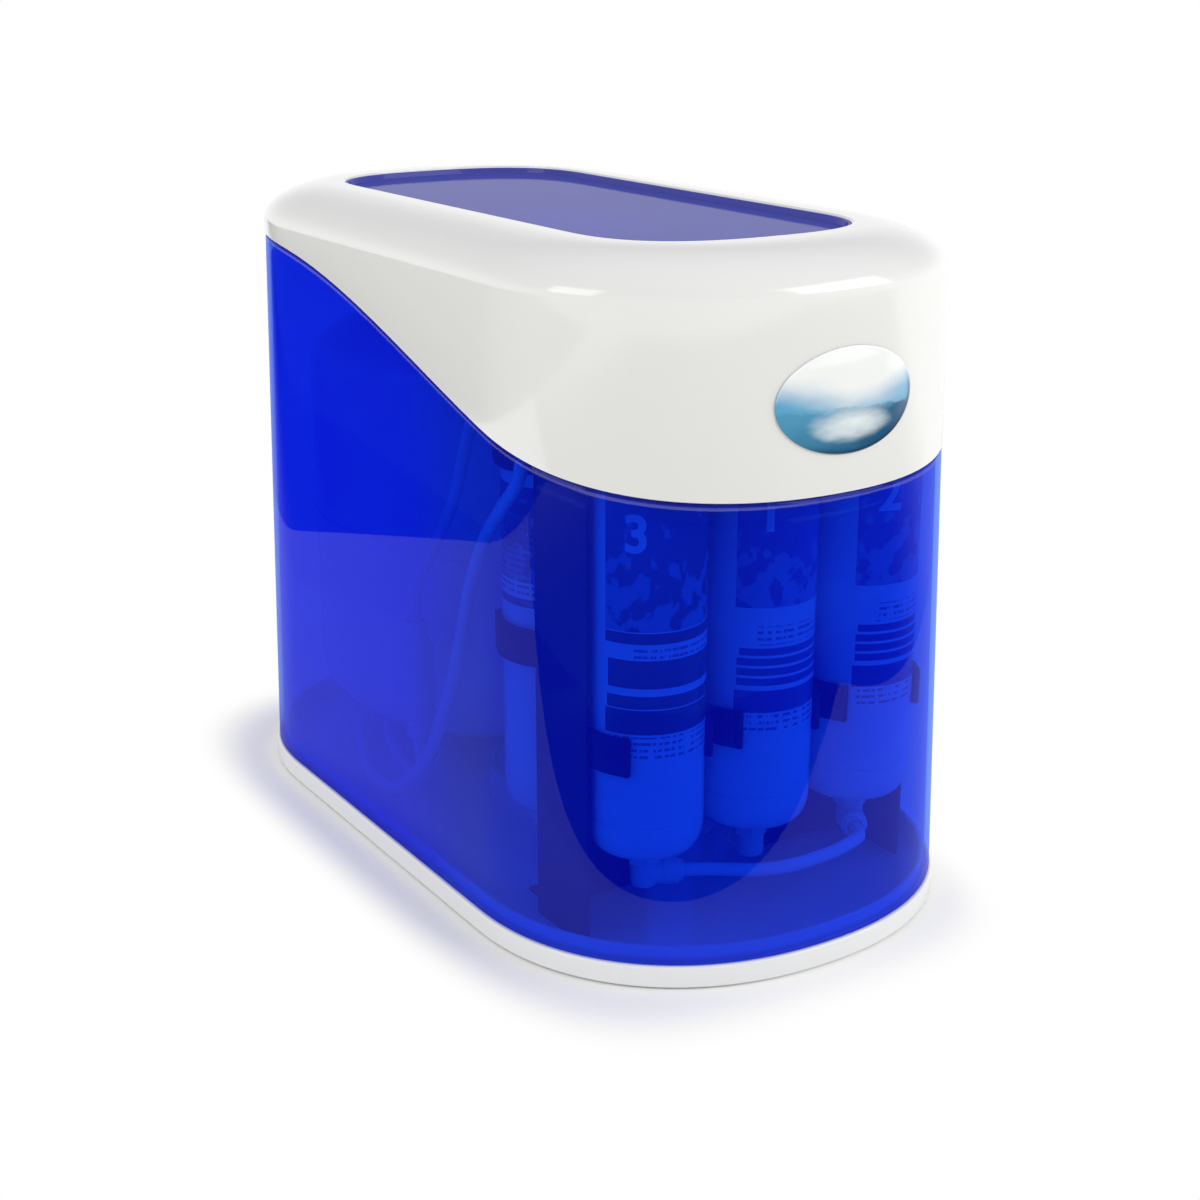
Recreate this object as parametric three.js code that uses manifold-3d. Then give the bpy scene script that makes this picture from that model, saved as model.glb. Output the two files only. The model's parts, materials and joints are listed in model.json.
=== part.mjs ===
// Compact reverse osmosis water purifier: a white tray carries the filters and the
// storage tank, and a see-through blue housing with a white cap lifts off over them.
// Millimetres, +Z up, front towards -Y. The origin is the middle of the footprint.

import * as THREE from 'three';
import { mergeVertices } from 'three/addons/utils/BufferGeometryUtils.js';
import Module from 'manifold-3d';

const wasm = await Module();
wasm.setup();

// Two sizes drive the rest: the half width of the housing and its height
const shell_half_width = 120;
const cap_top = 325.6;

// Housing plan: straight flanks with squarish rounded ends
const end_flatness = 6.5;
const end_depth = shell_half_width - end_flatness;
const end_power = 2.19;
const draft_share = 0.025;

// Fits
const fit_gap = 0.3;
const slide_gap = 0.4;
const overrun = 20;

// Tray
const foot_height = 0.8;
const band_top = 11.2;
const band_proud = 1.2;
const band_edge = 1;
const floor_top = 6.5;
const floor_thickness = 3;
const skirt_wall = 3.6;
const rim_height = 8;
const rim_wall = 2.2;

// Bulkhead ports
const port_pitch = 30;
const port_z = 28;
const port_thread_radius = 8;
const port_flange_radius = 9.5;
const port_flange = 5;
const port_nose_radius = 7.2;
const port_nose = 9;
const port_tail_radius = 6.5;
const port_tail = 11;
const collet_bore = 3.4;
const collet_sleeve_radius = 4.7;
const collet_sleeve = 6;
const collet_head_radius = 6.2;
const collet_head = 1.6;
const collet_travel = 1.5;
const sleeve_pocket_radius = 5.2;

// Port bay at the back of the tray
const bay_side_room = 7.5;
const bay_half_width = port_pitch + port_flange_radius + bay_side_room;
const bay_depth = 26;
const bay_wall = 3;
const bay_top = 47;
const bay_corner = 6;

// Bracket, set in from the housing's flanks
const bracket_side_room = 27;
const bracket_half_width = shell_half_width - bracket_side_room;
const sheet = 1.6;
const bracket_bend = 3;
const bracket_arch_share = 0.3226;
const bracket_arch_half_width = bracket_arch_share * bracket_half_width;
const bracket_arch_top = 58;
const tab_length = 20;
const tab_width = 40;
const tab_side_room = 28;
const tab_centre = bracket_half_width - tab_side_room;
const slot_half_width = 16;
const slot_height = 56;

// Filter cartridges, three in a row between the bracket's flanges
const filter_side_room = 5;
const filter_spacing = 7;
const cartridge_radius = (bracket_half_width - filter_side_room - filter_spacing) / 3;
const cartridge_pitch = 2 * cartridge_radius + filter_spacing;
const cartridge_bottom = 53;
const filter_head_room = 40.6;
const cartridge_length = cap_top - filter_head_room - cartridge_bottom;
const cartridge_top = cartridge_bottom + cartridge_length;
const cartridge_shoulder = 13;
const cartridge_shoulder_reach = 7.5;
const cartridge_end_radius = cartridge_radius - cartridge_shoulder_reach;
const boss_radius = 9;
const boss_height = 4;
const bracket_top_drop = 1;
const bracket_top = cartridge_top - bracket_top_drop;
const slot_share = 0.54;
const slot_centre_z = cartridge_bottom + slot_share * cartridge_length;

const filter_to_bracket = 16;
const flange_past_filters = 1.4;
const bracket_flange = sheet + filter_to_bracket + cartridge_radius + flange_past_filters;

// Clips
const clip_wall = 2.8;
const clip_height = 18;
const clip_low_share = 0.2285;
const clip_high_share = 0.858;
const clip_low_z = cartridge_bottom + clip_low_share * cartridge_length;
const clip_high_z = cartridge_bottom + clip_high_share * cartridge_length;
const clip_pad = 11;
const clip_base = 1.2;
const clip_rail_wall = 3;
const clip_rail_side_room = 9;
const clip_rail_half_length = bracket_half_width - clip_rail_side_room;
const clip_low_grip = 130;
const clip_high_grip = 108;

// Tank valve
const nut_radius = 14;
const nut_height = 14;
const valve_ball_radius = 11;
const valve_sink = 2.5;
const valve_reach = 26;
const valve_stem_radius = 4.5;
const valve_stem_height = 11;
const lever_hub_radius = 9;
const lever_thickness = 4;
const lever_length = 40;
const lever_tip_radius = 6;

// Storage tank, set in from the flanks, with the valve between it and the cap
const lever_room = 15;
const valve_height = fit_gap + nut_height + 2 * valve_ball_radius - valve_sink + valve_stem_height / 2;
const tank_head_room = valve_height + fit_gap + lever_thickness + lever_room;
const tank_side_room = 20.8;
const tank_seam = 1.2;
const tank_seam_height = 8;
const tank_radius = shell_half_width - tank_side_room - tank_seam;
const tank_bottom = 20;
const tank_lower_dome = 42;
const tank_upper_dome = 35;
const tank_body = cap_top - tank_head_room - tank_upper_dome - tank_lower_dome - tank_bottom;
const tank_wall = 1.5;
const neck_radius = 9;
const neck_height = 11;
const neck_bore = 5;
const seat_share = 0.51;
const seat_radius = seat_share * tank_radius;
const seat_wall = 4;

// Lengthwise, from the front: room, filters, bracket, filters behind it, tank, room.
// The outer filters clear the rounded end by front_gap, measured halfway round them
const front_gap = 3.52;
const front_wall_inset = 9.5;
const corner_reach = (cartridge_radius + front_gap) * Math.SQRT1_2;
const corner_place = (cartridge_pitch + corner_reach) / (shell_half_width - front_wall_inset);
const corner_depth = (end_depth - front_wall_inset) * (1 - corner_place ** end_power) ** (1 / end_power);
const front_room = end_depth - corner_depth - cartridge_radius + corner_reach;
const bracket_to_post = 2 * fit_gap + clip_base + clip_wall;
const post_to_tank = 44.6;
const tank_over_bay = 0.9;
const tank_back_room = bay_depth - tank_over_bay;
const to_bracket_back = front_room + 2 * cartridge_radius + filter_to_bracket + sheet;
const to_tank_front = bracket_to_post + 2 * cartridge_radius + post_to_tank;
const to_back = 2 * (tank_radius + tank_seam) + tank_back_room;
const half_length = (to_bracket_back + to_tank_front + to_back) / 2;
const cartridge_row = front_room + cartridge_radius - half_length;
const bracket_back = to_bracket_back - half_length;
const bracket_web_front = bracket_back - sheet;
const post_y = bracket_back + bracket_to_post + cartridge_radius;
const tank_y = half_length - tank_back_room - tank_seam - tank_radius;
const side_half_length = half_length - end_depth;

// Rubber feet
const foot_radius = 10;
const foot_side_share = 0.683;
const foot_length_share = 0.592;
const foot_side = foot_side_share * shell_half_width;
const foot_length = foot_length_share * half_length;

// Shell wall and the tongue that enters the cap
const shell_wall = 2.5;
const tongue_height = 6;
const tongue_wall = 1.9;
const rib_height = 9;
const rib_taper = 2.5;
const shoulder_drop = 3.5;
const shoulder_reach = 1.5;

// Cap, with the S shaped line of its lower edge
const cap_wall = 2.3;
const cap_proud = 0.5;
const crown_reach = 38;
const crown_rise = 19;
const edge_front_drop = 104.6;
const edge_rear_drop = crown_rise + tongue_height + 2 * fit_gap;
const edge_front = cap_top - edge_front_drop;
const edge_rear = cap_top - edge_rear_drop;
const edge_start_share = 1.142;
const edge_run_share = 1.849;
const edge_start = -edge_start_share * half_length;
const edge_run = edge_run_share * half_length;

// Window panel in the cap
const window_width_share = 0.5708;
const window_end_share = 0.873;
const window_half_width = window_width_share * shell_half_width;
const window_short = 1;
const window_half_length = side_half_length - window_short;
const window_end_depth = window_end_share * window_half_width;
const window_power = 2.65;
const window_recess = 3.9;
const window_thickness = 2.4;
const window_ledge = 3.5;
const window_ledge_wall = 2.2;
const window_lip = 0.8;

// Badge
const badge_half_width = 37.3;
const badge_half_height = 22.8;
const badge_centre_x = 4;
const badge_lift = 41.5;
const badge_centre_z = edge_front + badge_lift;
const badge_edge = 0.6;
const badge_dome = 1.1;

// Push fit fittings and quarter inch tube
const tube_radius = 3.175;
const socket_clearance = 0.55;
const socket_depth = 10;
const tube_lead = 10;
const fitting_radius = 6.5;
const fitting_reach = 18;
const fitting_drop = 11;
const ring_radius = 5.2;
const ring_length = 2;

// Bracket screws
const screw_radius = 2;
const screw_clearance = 0.5;
const screw_head_radius = 4;
const screw_head_height = 2.4;

// Post filter and membrane behind the bracket
const post_inset = 1;
const post_x = post_inset - cartridge_pitch;
const post_drop = 8;
const post_bottom = cartridge_bottom - post_drop;
const back_clip_low_share = 0.38;
const back_clip_high_share = 0.78;
const back_clip_low_z = post_bottom + back_clip_low_share * cartridge_length;
const back_clip_high_z = post_bottom + back_clip_high_share * cartridge_length;
const membrane_x = -post_x;
const membrane_y = post_y;
const vessel_radius = cartridge_radius;
const vessel_wall = 2.8;
const vessel_drop = 3;
const vessel_bottom = cartridge_bottom - vessel_drop;
const vessel_top = cartridge_top;
const vessel_end_wall = 14;
const vessel_port_offset = 10;
const vessel_cap_proud = 3;
const vessel_cap_radius = vessel_radius + vessel_cap_proud;
const vessel_cap_depth = 10;
const vessel_cap_reach = 22;
const vessel_cap_bottom = vessel_bottom - vessel_cap_depth;
const vessel_cap_top = vessel_bottom + vessel_cap_reach;
const vessel_cap_floor = 6;
const cap_rib_count = 12;
const element_room = 4.5;
const element_radius = vessel_radius - element_room;
const element_core_radius = 8;
const element_core_reach = 6;
const element_seal_height = 6;

// Automatic shut-off valve
const shutoff_radius = 16;
const shutoff_depth = 20;
const shutoff_drop = 35;
const shutoff_z = cartridge_top - shutoff_drop;
const shutoff_y = bracket_back + fit_gap + shutoff_depth / 2;
const shutoff_port_x = 8;
const shutoff_port_stand = 12;
const shutoff_port_reach = shutoff_radius + shutoff_port_stand;
const shutoff_port_radius = 5.5;

// Flow restrictor beside the tank
const restrictor_side_room = 28.5;
const restrictor_x = restrictor_side_room - shell_half_width;
const restrictor_y_share = 0.595;
const restrictor_y = bracket_back + restrictor_y_share * (tank_y - bracket_back);
const restrictor_radius = 8.5;
const restrictor_neck_radius = 6;
const restrictor_bottom = 66;
const restrictor_body = 40;
const restrictor_neck = 12;

// Fineness of curves
const end_steps = 18;
const side_steps = 7;
const crown_steps = 4;
const round_sides = 16;
const arc_steps = 7;
const badge_sides = 24;
const inner_steps = 3;
const dome_steps = 5;
const tank_sides = 24;
const small_sides = 8;
const port_sides = 8;
const tube_sides = 6;
const tube_step_share = 6;
const fewest_tube_steps = 4;
const cut_steps = 6;
const bend_steps = 3;
const shoulder_shares = [0, 0.4, 0.75, 1];
const end_shares = [0, 0.25, 0.55, 1];
const badge_back_shares = [0.1, 0.4, 0.7, 1];
const badge_dome_shares = [1, 0.94, 0.75, 0.4, 0.1];
const weld_distance = 1e-4;

const material = (color, roughness, metalness = 0, opacity = 1) =>
  new THREE.MeshStandardMaterial({ color, roughness, metalness, opacity, transparent: opacity < 1 });

const white_gloss = material(0xecece8, 0.18);
const blue_clear = material(0x1a24dc, 0.08, 0, 0.55);
const filter_white = material(0xf2f3f2, 0.3);
const tube_white = material(0xf4f5f6, 0.35);
const fitting_white = material(0xe9ebec, 0.35);
const dark_sheet = material(0x20242c, 0.45, 0.3);
const dark_plastic = material(0x1a1d24, 0.5);
const tank_enamel = material(0xf4f4f2, 0.25, 0.1);
const steel = material(0xb9bcc0, 0.3, 1);
const lever_blue = material(0x1f5fb8, 0.35);
const rubber = material(0x2a2a2a, 0.85);
const badge_finish = material(0x8fc4d8, 0.12);

// Turns a closed geometry into a solid with its faces pointing out
function solid(geometry) {
  const bare = geometry.index ? geometry.toNonIndexed() : geometry.clone();
  bare.deleteAttribute('normal');
  bare.deleteAttribute('uv');
  const merged = mergeVertices(bare, weld_distance);
  const place = merged.attributes.position;
  const corner = (k) => new THREE.Vector3().fromBufferAttribute(place, merged.index.getX(k));
  const faces = [];
  let volume = 0;
  for (let k = 0; k < merged.index.count; k += 3) {
    const ids = [0, 1, 2].map((j) => merged.index.getX(k + j));
    if (new Set(ids).size < 3) continue;
    volume += corner(k).dot(corner(k + 1).cross(corner(k + 2)));
    faces.push(ids);
  }
  const turned_in = volume < 0;
  const triVerts = new Uint32Array(faces.flatMap(([a, b, c]) => (turned_in ? [a, c, b] : [a, b, c])));
  const vertProperties = new Float32Array(place.array);
  return new wasm.Manifold(new wasm.Mesh({ numProp: 3, vertProperties, triVerts }));
}

const join = (first, ...rest) => rest.reduce((whole, next) => whole.add(next), first);

function geometryOf(body) {
  const mesh = body.getMesh();
  const geometry = new THREE.BufferGeometry();
  geometry.setAttribute('position', new THREE.BufferAttribute(mesh.vertProperties, mesh.numProp));
  geometry.setIndex(new THREE.BufferAttribute(mesh.triVerts, 1));
  return geometry;
}

function piece(parent, name, body, finish, place = [0, 0, 0]) {
  const mesh = new THREE.Mesh(geometryOf(body), finish);
  mesh.name = name;
  mesh.position.set(...place);
  parent.add(mesh);
  return mesh;
}

// Revolves a profile of [radius, height] points about the Z axis
function turned(profile, sides) {
  const points = profile.map(([radius, height]) => new THREE.Vector2(radius, height));
  return solid(new THREE.LatheGeometry(points, sides).rotateX(Math.PI / 2));
}

function block(low, high) {
  const size = high.map((value, axis) => value - low[axis]);
  const middle = high.map((value, axis) => (value + low[axis]) / 2);
  return solid(new THREE.BoxGeometry(...size).translate(...middle));
}

// A flat outline in X and Z, made thick along Y
function plateAcross(shape, y_low, y_high) {
  const options = { depth: y_high - y_low, bevelEnabled: false, curveSegments: cut_steps };
  const flat = new THREE.ExtrudeGeometry(shape, options);
  return solid(flat.rotateX(Math.PI / 2).translate(0, y_high, 0));
}

// A flat outline in X and Y, made thick along Z
function plateUp(shape, z_low, z_high, steps) {
  const options = { depth: z_high - z_low, bevelEnabled: false, curveSegments: steps };
  const flat = new THREE.ExtrudeGeometry(shape, options);
  return solid(flat.translate(0, 0, z_low));
}

// One point of the housing plan; count runs once round, starting on the right flank
function planPoint(count, plan, steps) {
  const half = steps + end_steps;
  const back = count >= half ? -1 : 1;
  const local = count % half;
  if (local < steps) {
    return [back * plan.half_width, back * plan.flank * ((2 * local) / steps - 1)];
  }
  const angle = (Math.PI * (local - steps)) / end_steps;
  const bow = 2 / plan.power;
  const across = Math.sign(Math.cos(angle)) * Math.abs(Math.cos(angle)) ** bow;
  const along = Math.sin(angle) ** bow;
  return [back * plan.half_width * across, back * (plan.flank + plan.depth * along)];
}

// Housing plan at a height, drawn in by an inset
function wallPlan(z, inset) {
  const lean = draft_share * (z - band_top) + inset;
  return {
    half_width: shell_half_width - lean,
    depth: end_depth - lean,
    flank: side_half_length,
    power: end_power,
  };
}

function windowPlan(inset) {
  return {
    half_width: window_half_width - inset,
    depth: window_end_depth - inset,
    flank: window_half_length,
    power: window_power,
  };
}

// A level ring of a plan
function levelRing(plan, z, steps = side_steps) {
  const total = 2 * (steps + end_steps);
  return Array.from({ length: total }, (_, count) => [...planPoint(count, plan, steps), z]);
}

// Lower edge of the cap: level in front, then an S shaped rise towards the back
function capEdge(y) {
  const share = THREE.MathUtils.clamp((y - edge_start) / edge_run, 0, 1);
  return edge_front + ((edge_rear - edge_front) * (1 - Math.cos(Math.PI * share))) / 2;
}

// A ring of the wall that follows the cap's edge at a rise above it
function edgeRing(inset, rise) {
  return levelRing(wallPlan(edge_front, 0), 0).map(([, y], count) => {
    const z = capEdge(y) + rise;
    return [...planPoint(count, wallPlan(z, inset), side_steps), z];
  });
}

// Skins rings of equal count; the ends close on fans, or the last ring meets the first
function loft(rings, looped) {
  const total = rings[0].length;
  const corners = rings.flat();
  const faces = [];
  const spans = looped ? rings.length : rings.length - 1;
  for (let row = 0; row < spans; row += 1) {
    const next = (row + 1) % rings.length;
    for (let k = 0; k < total; k += 1) {
      const right = (k + 1) % total;
      const [a, b] = [row * total + k, row * total + right];
      const [c, d] = [next * total + k, next * total + right];
      faces.push(a, b, d, a, d, c);
    }
  }
  if (!looped) {
    for (const row of [0, rings.length - 1]) {
      const sum = rings[row].reduce((all, point) => all.map((value, axis) => value + point[axis]), [0, 0, 0]);
      const centre = corners.push(sum.map((value) => value / total)) - 1;
      for (let k = 0; k < total; k += 1) {
        const [here, right] = [row * total + k, row * total + ((k + 1) % total)];
        faces.push(...(row === 0 ? [centre, right, here] : [centre, here, right]));
      }
    }
  }
  const geometry = new THREE.BufferGeometry();
  geometry.setAttribute('position', new THREE.Float32BufferAttribute(corners.flat(), 3));
  geometry.setIndex(faces);
  return solid(geometry);
}

// Seats shared by several pieces
const shell_foot = band_top + fit_gap;
const underside = floor_top - floor_thickness;
const rim_outer = shell_wall + slide_gap;
const rim_inner = rim_outer + rim_wall;
const tray_back = half_length + band_proud;
const port_wall = tray_back - bay_depth;
const cap_inner = cap_wall - cap_proud;
const tongue_outer = cap_inner + fit_gap;
const tongue_inner = tongue_outer + tongue_wall;
const crown_start = cap_top - crown_rise;
const bracket_foot = floor_top + fit_gap;
const cartridge_xs = [0, cartridge_pitch, -cartridge_pitch];
const bore_radius = tube_radius + socket_clearance;

function rimRing(inset, z) {
  return levelRing(wallPlan(band_top, inset), z, 1);
}

// White tray: band outside, flat seat for the shell, rim inside it
function baseTray() {
  const rings = [
    rimRing(rim_inner, floor_top),
    rimRing(rim_inner, band_top + rim_height),
    rimRing(rim_outer, band_top + rim_height),
    rimRing(rim_outer, band_top),
    rimRing(band_edge - band_proud, band_top),
    rimRing(-band_proud, band_top - band_edge),
    rimRing(-band_proud, foot_height + band_edge),
    rimRing(band_edge - band_proud, foot_height),
    rimRing(skirt_wall, foot_height),
    rimRing(skirt_wall, underside),
  ];
  let tray = loft(rings, false);
  tray = join(tray, portBay(), tankSeat());
  tray = tray.subtract(bayRecess(port_wall));
  for (const x of portPlaces()) tray = tray.subtract(portHole(x));
  for (const side of [-1, 1]) tray = tray.subtract(screwHole(side));
  return tray;
}

// Walls and roof of the bay, trimmed to the inside of the shell
function portBay() {
  const half = bay_half_width + bay_wall;
  const box = block([-half, port_wall - bay_wall, underside], [half, tray_back, bay_top + bay_wall]);
  const inside = loft([
    levelRing(wallPlan(band_top, rim_outer), 0, 1),
    levelRing(wallPlan(bay_top, rim_outer), bay_top + overrun, 1),
  ], false);
  return box.intersect(inside);
}

// Opening with rounded upper corners, from the seat of the shell to the roof
function bayRecess(from_y) {
  const shape = new THREE.Shape();
  shape.moveTo(-bay_half_width, band_top);
  shape.lineTo(bay_half_width, band_top);
  shape.lineTo(bay_half_width, bay_top - bay_corner);
  shape.absarc(bay_half_width - bay_corner, bay_top - bay_corner, bay_corner, 0, Math.PI / 2, false);
  shape.lineTo(bay_corner - bay_half_width, bay_top);
  shape.absarc(bay_corner - bay_half_width, bay_top - bay_corner, bay_corner, Math.PI / 2, Math.PI, false);
  shape.closePath();
  return plateAcross(shape, from_y, tray_back + overrun);
}

const portPlaces = () => [port_pitch, 0, -port_pitch];

function alongY(body, x, y, z) {
  return body.rotate([-90, 0, 0]).translate([x, y, z]);
}

function portHole(x) {
  const radius = port_thread_radius + 2 * fit_gap;
  const drill = turned([[0, 0], [radius, 0], [radius, overrun], [0, overrun]], port_sides);
  return alongY(drill, x, port_wall - overrun / 2, port_z);
}

// Height of the tank's lower dome at a distance from its axis
function domeUnder(radius) {
  return tank_bottom + tank_lower_dome * (1 - Math.sqrt(1 - (radius / tank_radius) ** 2));
}

function tankSeat() {
  const inner = seat_radius - seat_wall;
  const ring = turned([
    [inner, underside + fit_gap],
    [seat_radius, underside + fit_gap],
    [seat_radius, domeUnder(seat_radius) - fit_gap],
    [inner, domeUnder(inner) - fit_gap],
    [inner, underside + fit_gap],
  ], round_sides);
  return ring.translate([0, tank_y, 0]);
}

function screwHole(side) {
  const radius = screw_radius + screw_clearance;
  const drill = turned([[0, 0], [radius, 0], [radius, overrun], [0, overrun]], small_sides);
  return drill.translate([side * tab_centre, bracket_back + tab_length / 2, 0]);
}

function rubberFoot() {
  return turned([
    [0, 0],
    [foot_radius - foot_height, 0],
    [foot_radius, foot_height],
    [foot_radius, underside - fit_gap],
    [0, underside - fit_gap],
  ], round_sides / 2);
}

// See-through wall: shoulder under the cap, tongue behind it, rib inside
function shell() {
  const shoulder = shoulder_shares.map((share) => {
    const turn = (share * Math.PI) / 2;
    const rise = shoulder_drop * (1 - Math.sin(turn));
    return edgeRing(shoulder_reach * (1 - Math.cos(turn)), -fit_gap - rise);
  });
  const rings = [
    levelRing(wallPlan(shell_foot, 0), shell_foot),
    ...shoulder,
    edgeRing(tongue_outer, -fit_gap),
    edgeRing(tongue_outer, tongue_height),
    edgeRing(tongue_inner, tongue_height),
    edgeRing(tongue_inner, -rib_height),
    edgeRing(shell_wall, -rib_height - rib_taper),
    levelRing(wallPlan(shell_foot, shell_wall), shell_foot),
  ];
  const notch_from = side_half_length + end_depth / 2;
  return loft(rings, true).subtract(bayRecess(notch_from).translate([0, 0, -fit_gap]));
}

// One ring of the crown's rounding, from the wall (0) to the flat top (1)
function crownRing(share, wall) {
  const turn = (share * Math.PI) / 2;
  const reach = crown_reach - wall;
  const rise = crown_rise - wall;
  const z = crown_start + rise * Math.sin(turn);
  return levelRing(wallPlan(z, wall - cap_proud + reach * (1 - Math.cos(turn))), z);
}

const crownShares = (steps) => Array.from({ length: steps + 1 }, (_, step) => step / steps);

// White hood with a seat for the window panel
function cap() {
  const seat = cap_top - window_recess - window_thickness - fit_gap;
  const rings = [
    edgeRing(cap_inner, 0),
    edgeRing(0, 0),
    edgeRing(-cap_proud, cap_proud),
    ...crownShares(crown_steps).map((share) => crownRing(share, 0)),
    levelRing(windowPlan(-window_lip), cap_top),
    levelRing(windowPlan(0), cap_top - window_lip),
    levelRing(windowPlan(0), seat),
    levelRing(windowPlan(window_ledge), seat),
    levelRing(windowPlan(window_ledge), seat - window_ledge_wall),
    levelRing(windowPlan(-window_ledge_wall), seat - window_ledge_wall),
    levelRing(windowPlan(-window_ledge_wall), cap_top - cap_wall),
    ...crownShares(inner_steps).reverse().map((share) => crownRing(share, cap_wall)),
  ];
  return loft(rings, true);
}

function windowPanel() {
  const top = cap_top - window_recess;
  const edge = fit_gap;
  return loft([
    levelRing(windowPlan(fit_gap), top - window_thickness, 1),
    levelRing(windowPlan(fit_gap), top - edge, 1),
    levelRing(windowPlan(fit_gap + edge), top, 1),
  ], false);
}

// Front of the cap at a place across it and a height
function capFront(x, z) {
  const plan = wallPlan(z, -cap_proud);
  const across = Math.abs(x) / plan.half_width;
  return plan.flank + plan.depth * (1 - across ** plan.power) ** (1 / plan.power);
}

// Oval badge bent to the front of the cap, with a low dome
function badge() {
  const oval = (share, lift) => Array.from({ length: badge_sides }, (_, count) => {
    const angle = (2 * Math.PI * count) / badge_sides;
    const x = badge_centre_x + badge_half_width * share * Math.cos(angle);
    const z = badge_centre_z + badge_half_height * share * Math.sin(angle);
    return [x, -capFront(x, z) - fit_gap - lift, z];
  });
  const back = badge_back_shares.map((share) => oval(share, 0));
  const dome = badge_dome_shares.map((share) => oval(share, badge_edge + badge_dome * (1 - share ** 2)));
  return loft([...back, ...dome], false);
}

// Pressed sheet carrier: web with two flanges forward, feet bent back
function bracket() {
  const outer = bracket_half_width;
  const front = bracket_back - bracket_flange;
  const inner = outer - sheet;
  const bend_in = bracket_bend - sheet;
  const channel = new THREE.Shape();
  channel.moveTo(-outer, front);
  channel.lineTo(-inner, front);
  channel.lineTo(-inner, bracket_web_front - bend_in);
  channel.absarc(bend_in - inner, bracket_web_front - bend_in, bend_in, Math.PI, Math.PI / 2, true);
  channel.lineTo(inner - bend_in, bracket_web_front);
  channel.absarc(inner - bend_in, bracket_web_front - bend_in, bend_in, Math.PI / 2, 0, true);
  channel.lineTo(inner, front);
  channel.lineTo(outer, front);
  channel.lineTo(outer, bracket_back - bracket_bend);
  channel.absarc(outer - bracket_bend, bracket_back - bracket_bend, bracket_bend, 0, Math.PI / 2, false);
  channel.lineTo(bracket_bend - outer, bracket_back);
  channel.absarc(bracket_bend - outer, bracket_back - bracket_bend, bracket_bend, Math.PI / 2, Math.PI, false);
  let body = plateUp(channel, bracket_foot, bracket_top, bend_steps);
  for (const side of [-1, 1]) {
    const middle = side * tab_centre;
    const low = [middle - tab_width / 2, bracket_web_front, bracket_foot];
    const high = [middle + tab_width / 2, bracket_back + tab_length, bracket_foot + sheet];
    body = join(body, block(low, high)).subtract(screwHole(side));
  }
  const cut_low = bracket_web_front - overrun;
  const cut_high = bracket_back + overrun;
  const arch = new THREE.Shape();
  const spring = bracket_arch_top - bracket_arch_half_width;
  arch.moveTo(-bracket_arch_half_width, 0);
  arch.lineTo(bracket_arch_half_width, 0);
  arch.lineTo(bracket_arch_half_width, spring);
  arch.absarc(0, spring, bracket_arch_half_width, 0, Math.PI, false);
  arch.closePath();
  body = body.subtract(plateAcross(arch, cut_low, cut_high));
  const slot = new THREE.Shape();
  const slot_reach = slot_height / 2 - slot_half_width;
  slot.absarc(0, slot_centre_z + slot_reach, slot_half_width, 0, Math.PI, false);
  slot.absarc(0, slot_centre_z - slot_reach, slot_half_width, Math.PI, 2 * Math.PI, false);
  slot.closePath();
  return body.subtract(plateAcross(slot, cut_low, cut_high));
}

function bracketScrew() {
  const under_head = bracket_foot + sheet + fit_gap;
  return turned([
    [0, underside],
    [screw_radius, underside],
    [screw_radius, under_head],
    [screw_head_radius, under_head],
    [screw_head_radius, under_head + screw_head_height / 2],
    [screw_head_radius / 2, under_head + screw_head_height],
    [0, under_head + screw_head_height],
  ], small_sides);
}

// Inline filter: smooth tube with rounded ends and a threaded boss at each end
function filterBody(radius, length) {
  const rounding = end_shares.map((share) => {
    const turn = (share * Math.PI) / 2;
    const reach = radius - cartridge_end_radius;
    return [cartridge_end_radius + reach * Math.sin(turn), cartridge_shoulder * (1 - Math.cos(turn))];
  });
  return turned([
    [0, -boss_height],
    [boss_radius, -boss_height],
    [boss_radius, 0],
    ...rounding,
    ...rounding.map(([r, h]) => [r, length - h]).reverse(),
    [boss_radius, length],
    [boss_radius, length + boss_height],
    [0, length + boss_height],
  ], round_sides);
}

// A clip that grips a round body from behind; grip is the angle each arm reaches
function clipRing(radius, grip_degrees) {
  const grip = THREE.MathUtils.degToRad(grip_degrees);
  const outer = radius + fit_gap + clip_wall;
  const inner = (radius + fit_gap) / Math.cos(grip / (2 * arc_steps));
  const middle = Math.PI / 2;
  const shape = new THREE.Shape();
  shape.absarc(0, 0, outer, middle - grip, middle + grip, false);
  shape.absarc(0, 0, inner, middle + grip, middle - grip, true);
  shape.closePath();
  return plateUp(shape, -clip_height / 2, clip_height / 2, arc_steps);
}

// Three clips on one rail, screwed to the front of the bracket
function clipRail(z, grip_degrees) {
  const face = bracket_web_front - fit_gap;
  const half = clip_height / 2;
  const bar_low = [-clip_rail_half_length, face - clip_rail_wall, z - half];
  let rail = block(bar_low, [clip_rail_half_length, face, z + half]);
  for (const x of cartridge_xs) {
    const ring = clipRing(cartridge_radius, grip_degrees).translate([x, cartridge_row, z]);
    const pad_low = [x - clip_pad, cartridge_row + cartridge_radius + fit_gap + clip_wall / 2, z - half];
    rail = join(rail, ring, block(pad_low, [x + clip_pad, face, z + half]));
  }
  return rail;
}

// A single clip on the back of the bracket, its arms open to the back
function backClip(x, y, z, radius) {
  const ring = clipRing(radius, clip_low_grip).rotate([0, 0, 180]).translate([x, y, z]);
  const face = bracket_back + fit_gap;
  const half = clip_height / 2;
  const far = y - radius - fit_gap - clip_wall / 2;
  return join(ring, block([x - clip_pad, face, z - half], [x + clip_pad, far, z + half]));
}

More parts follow.
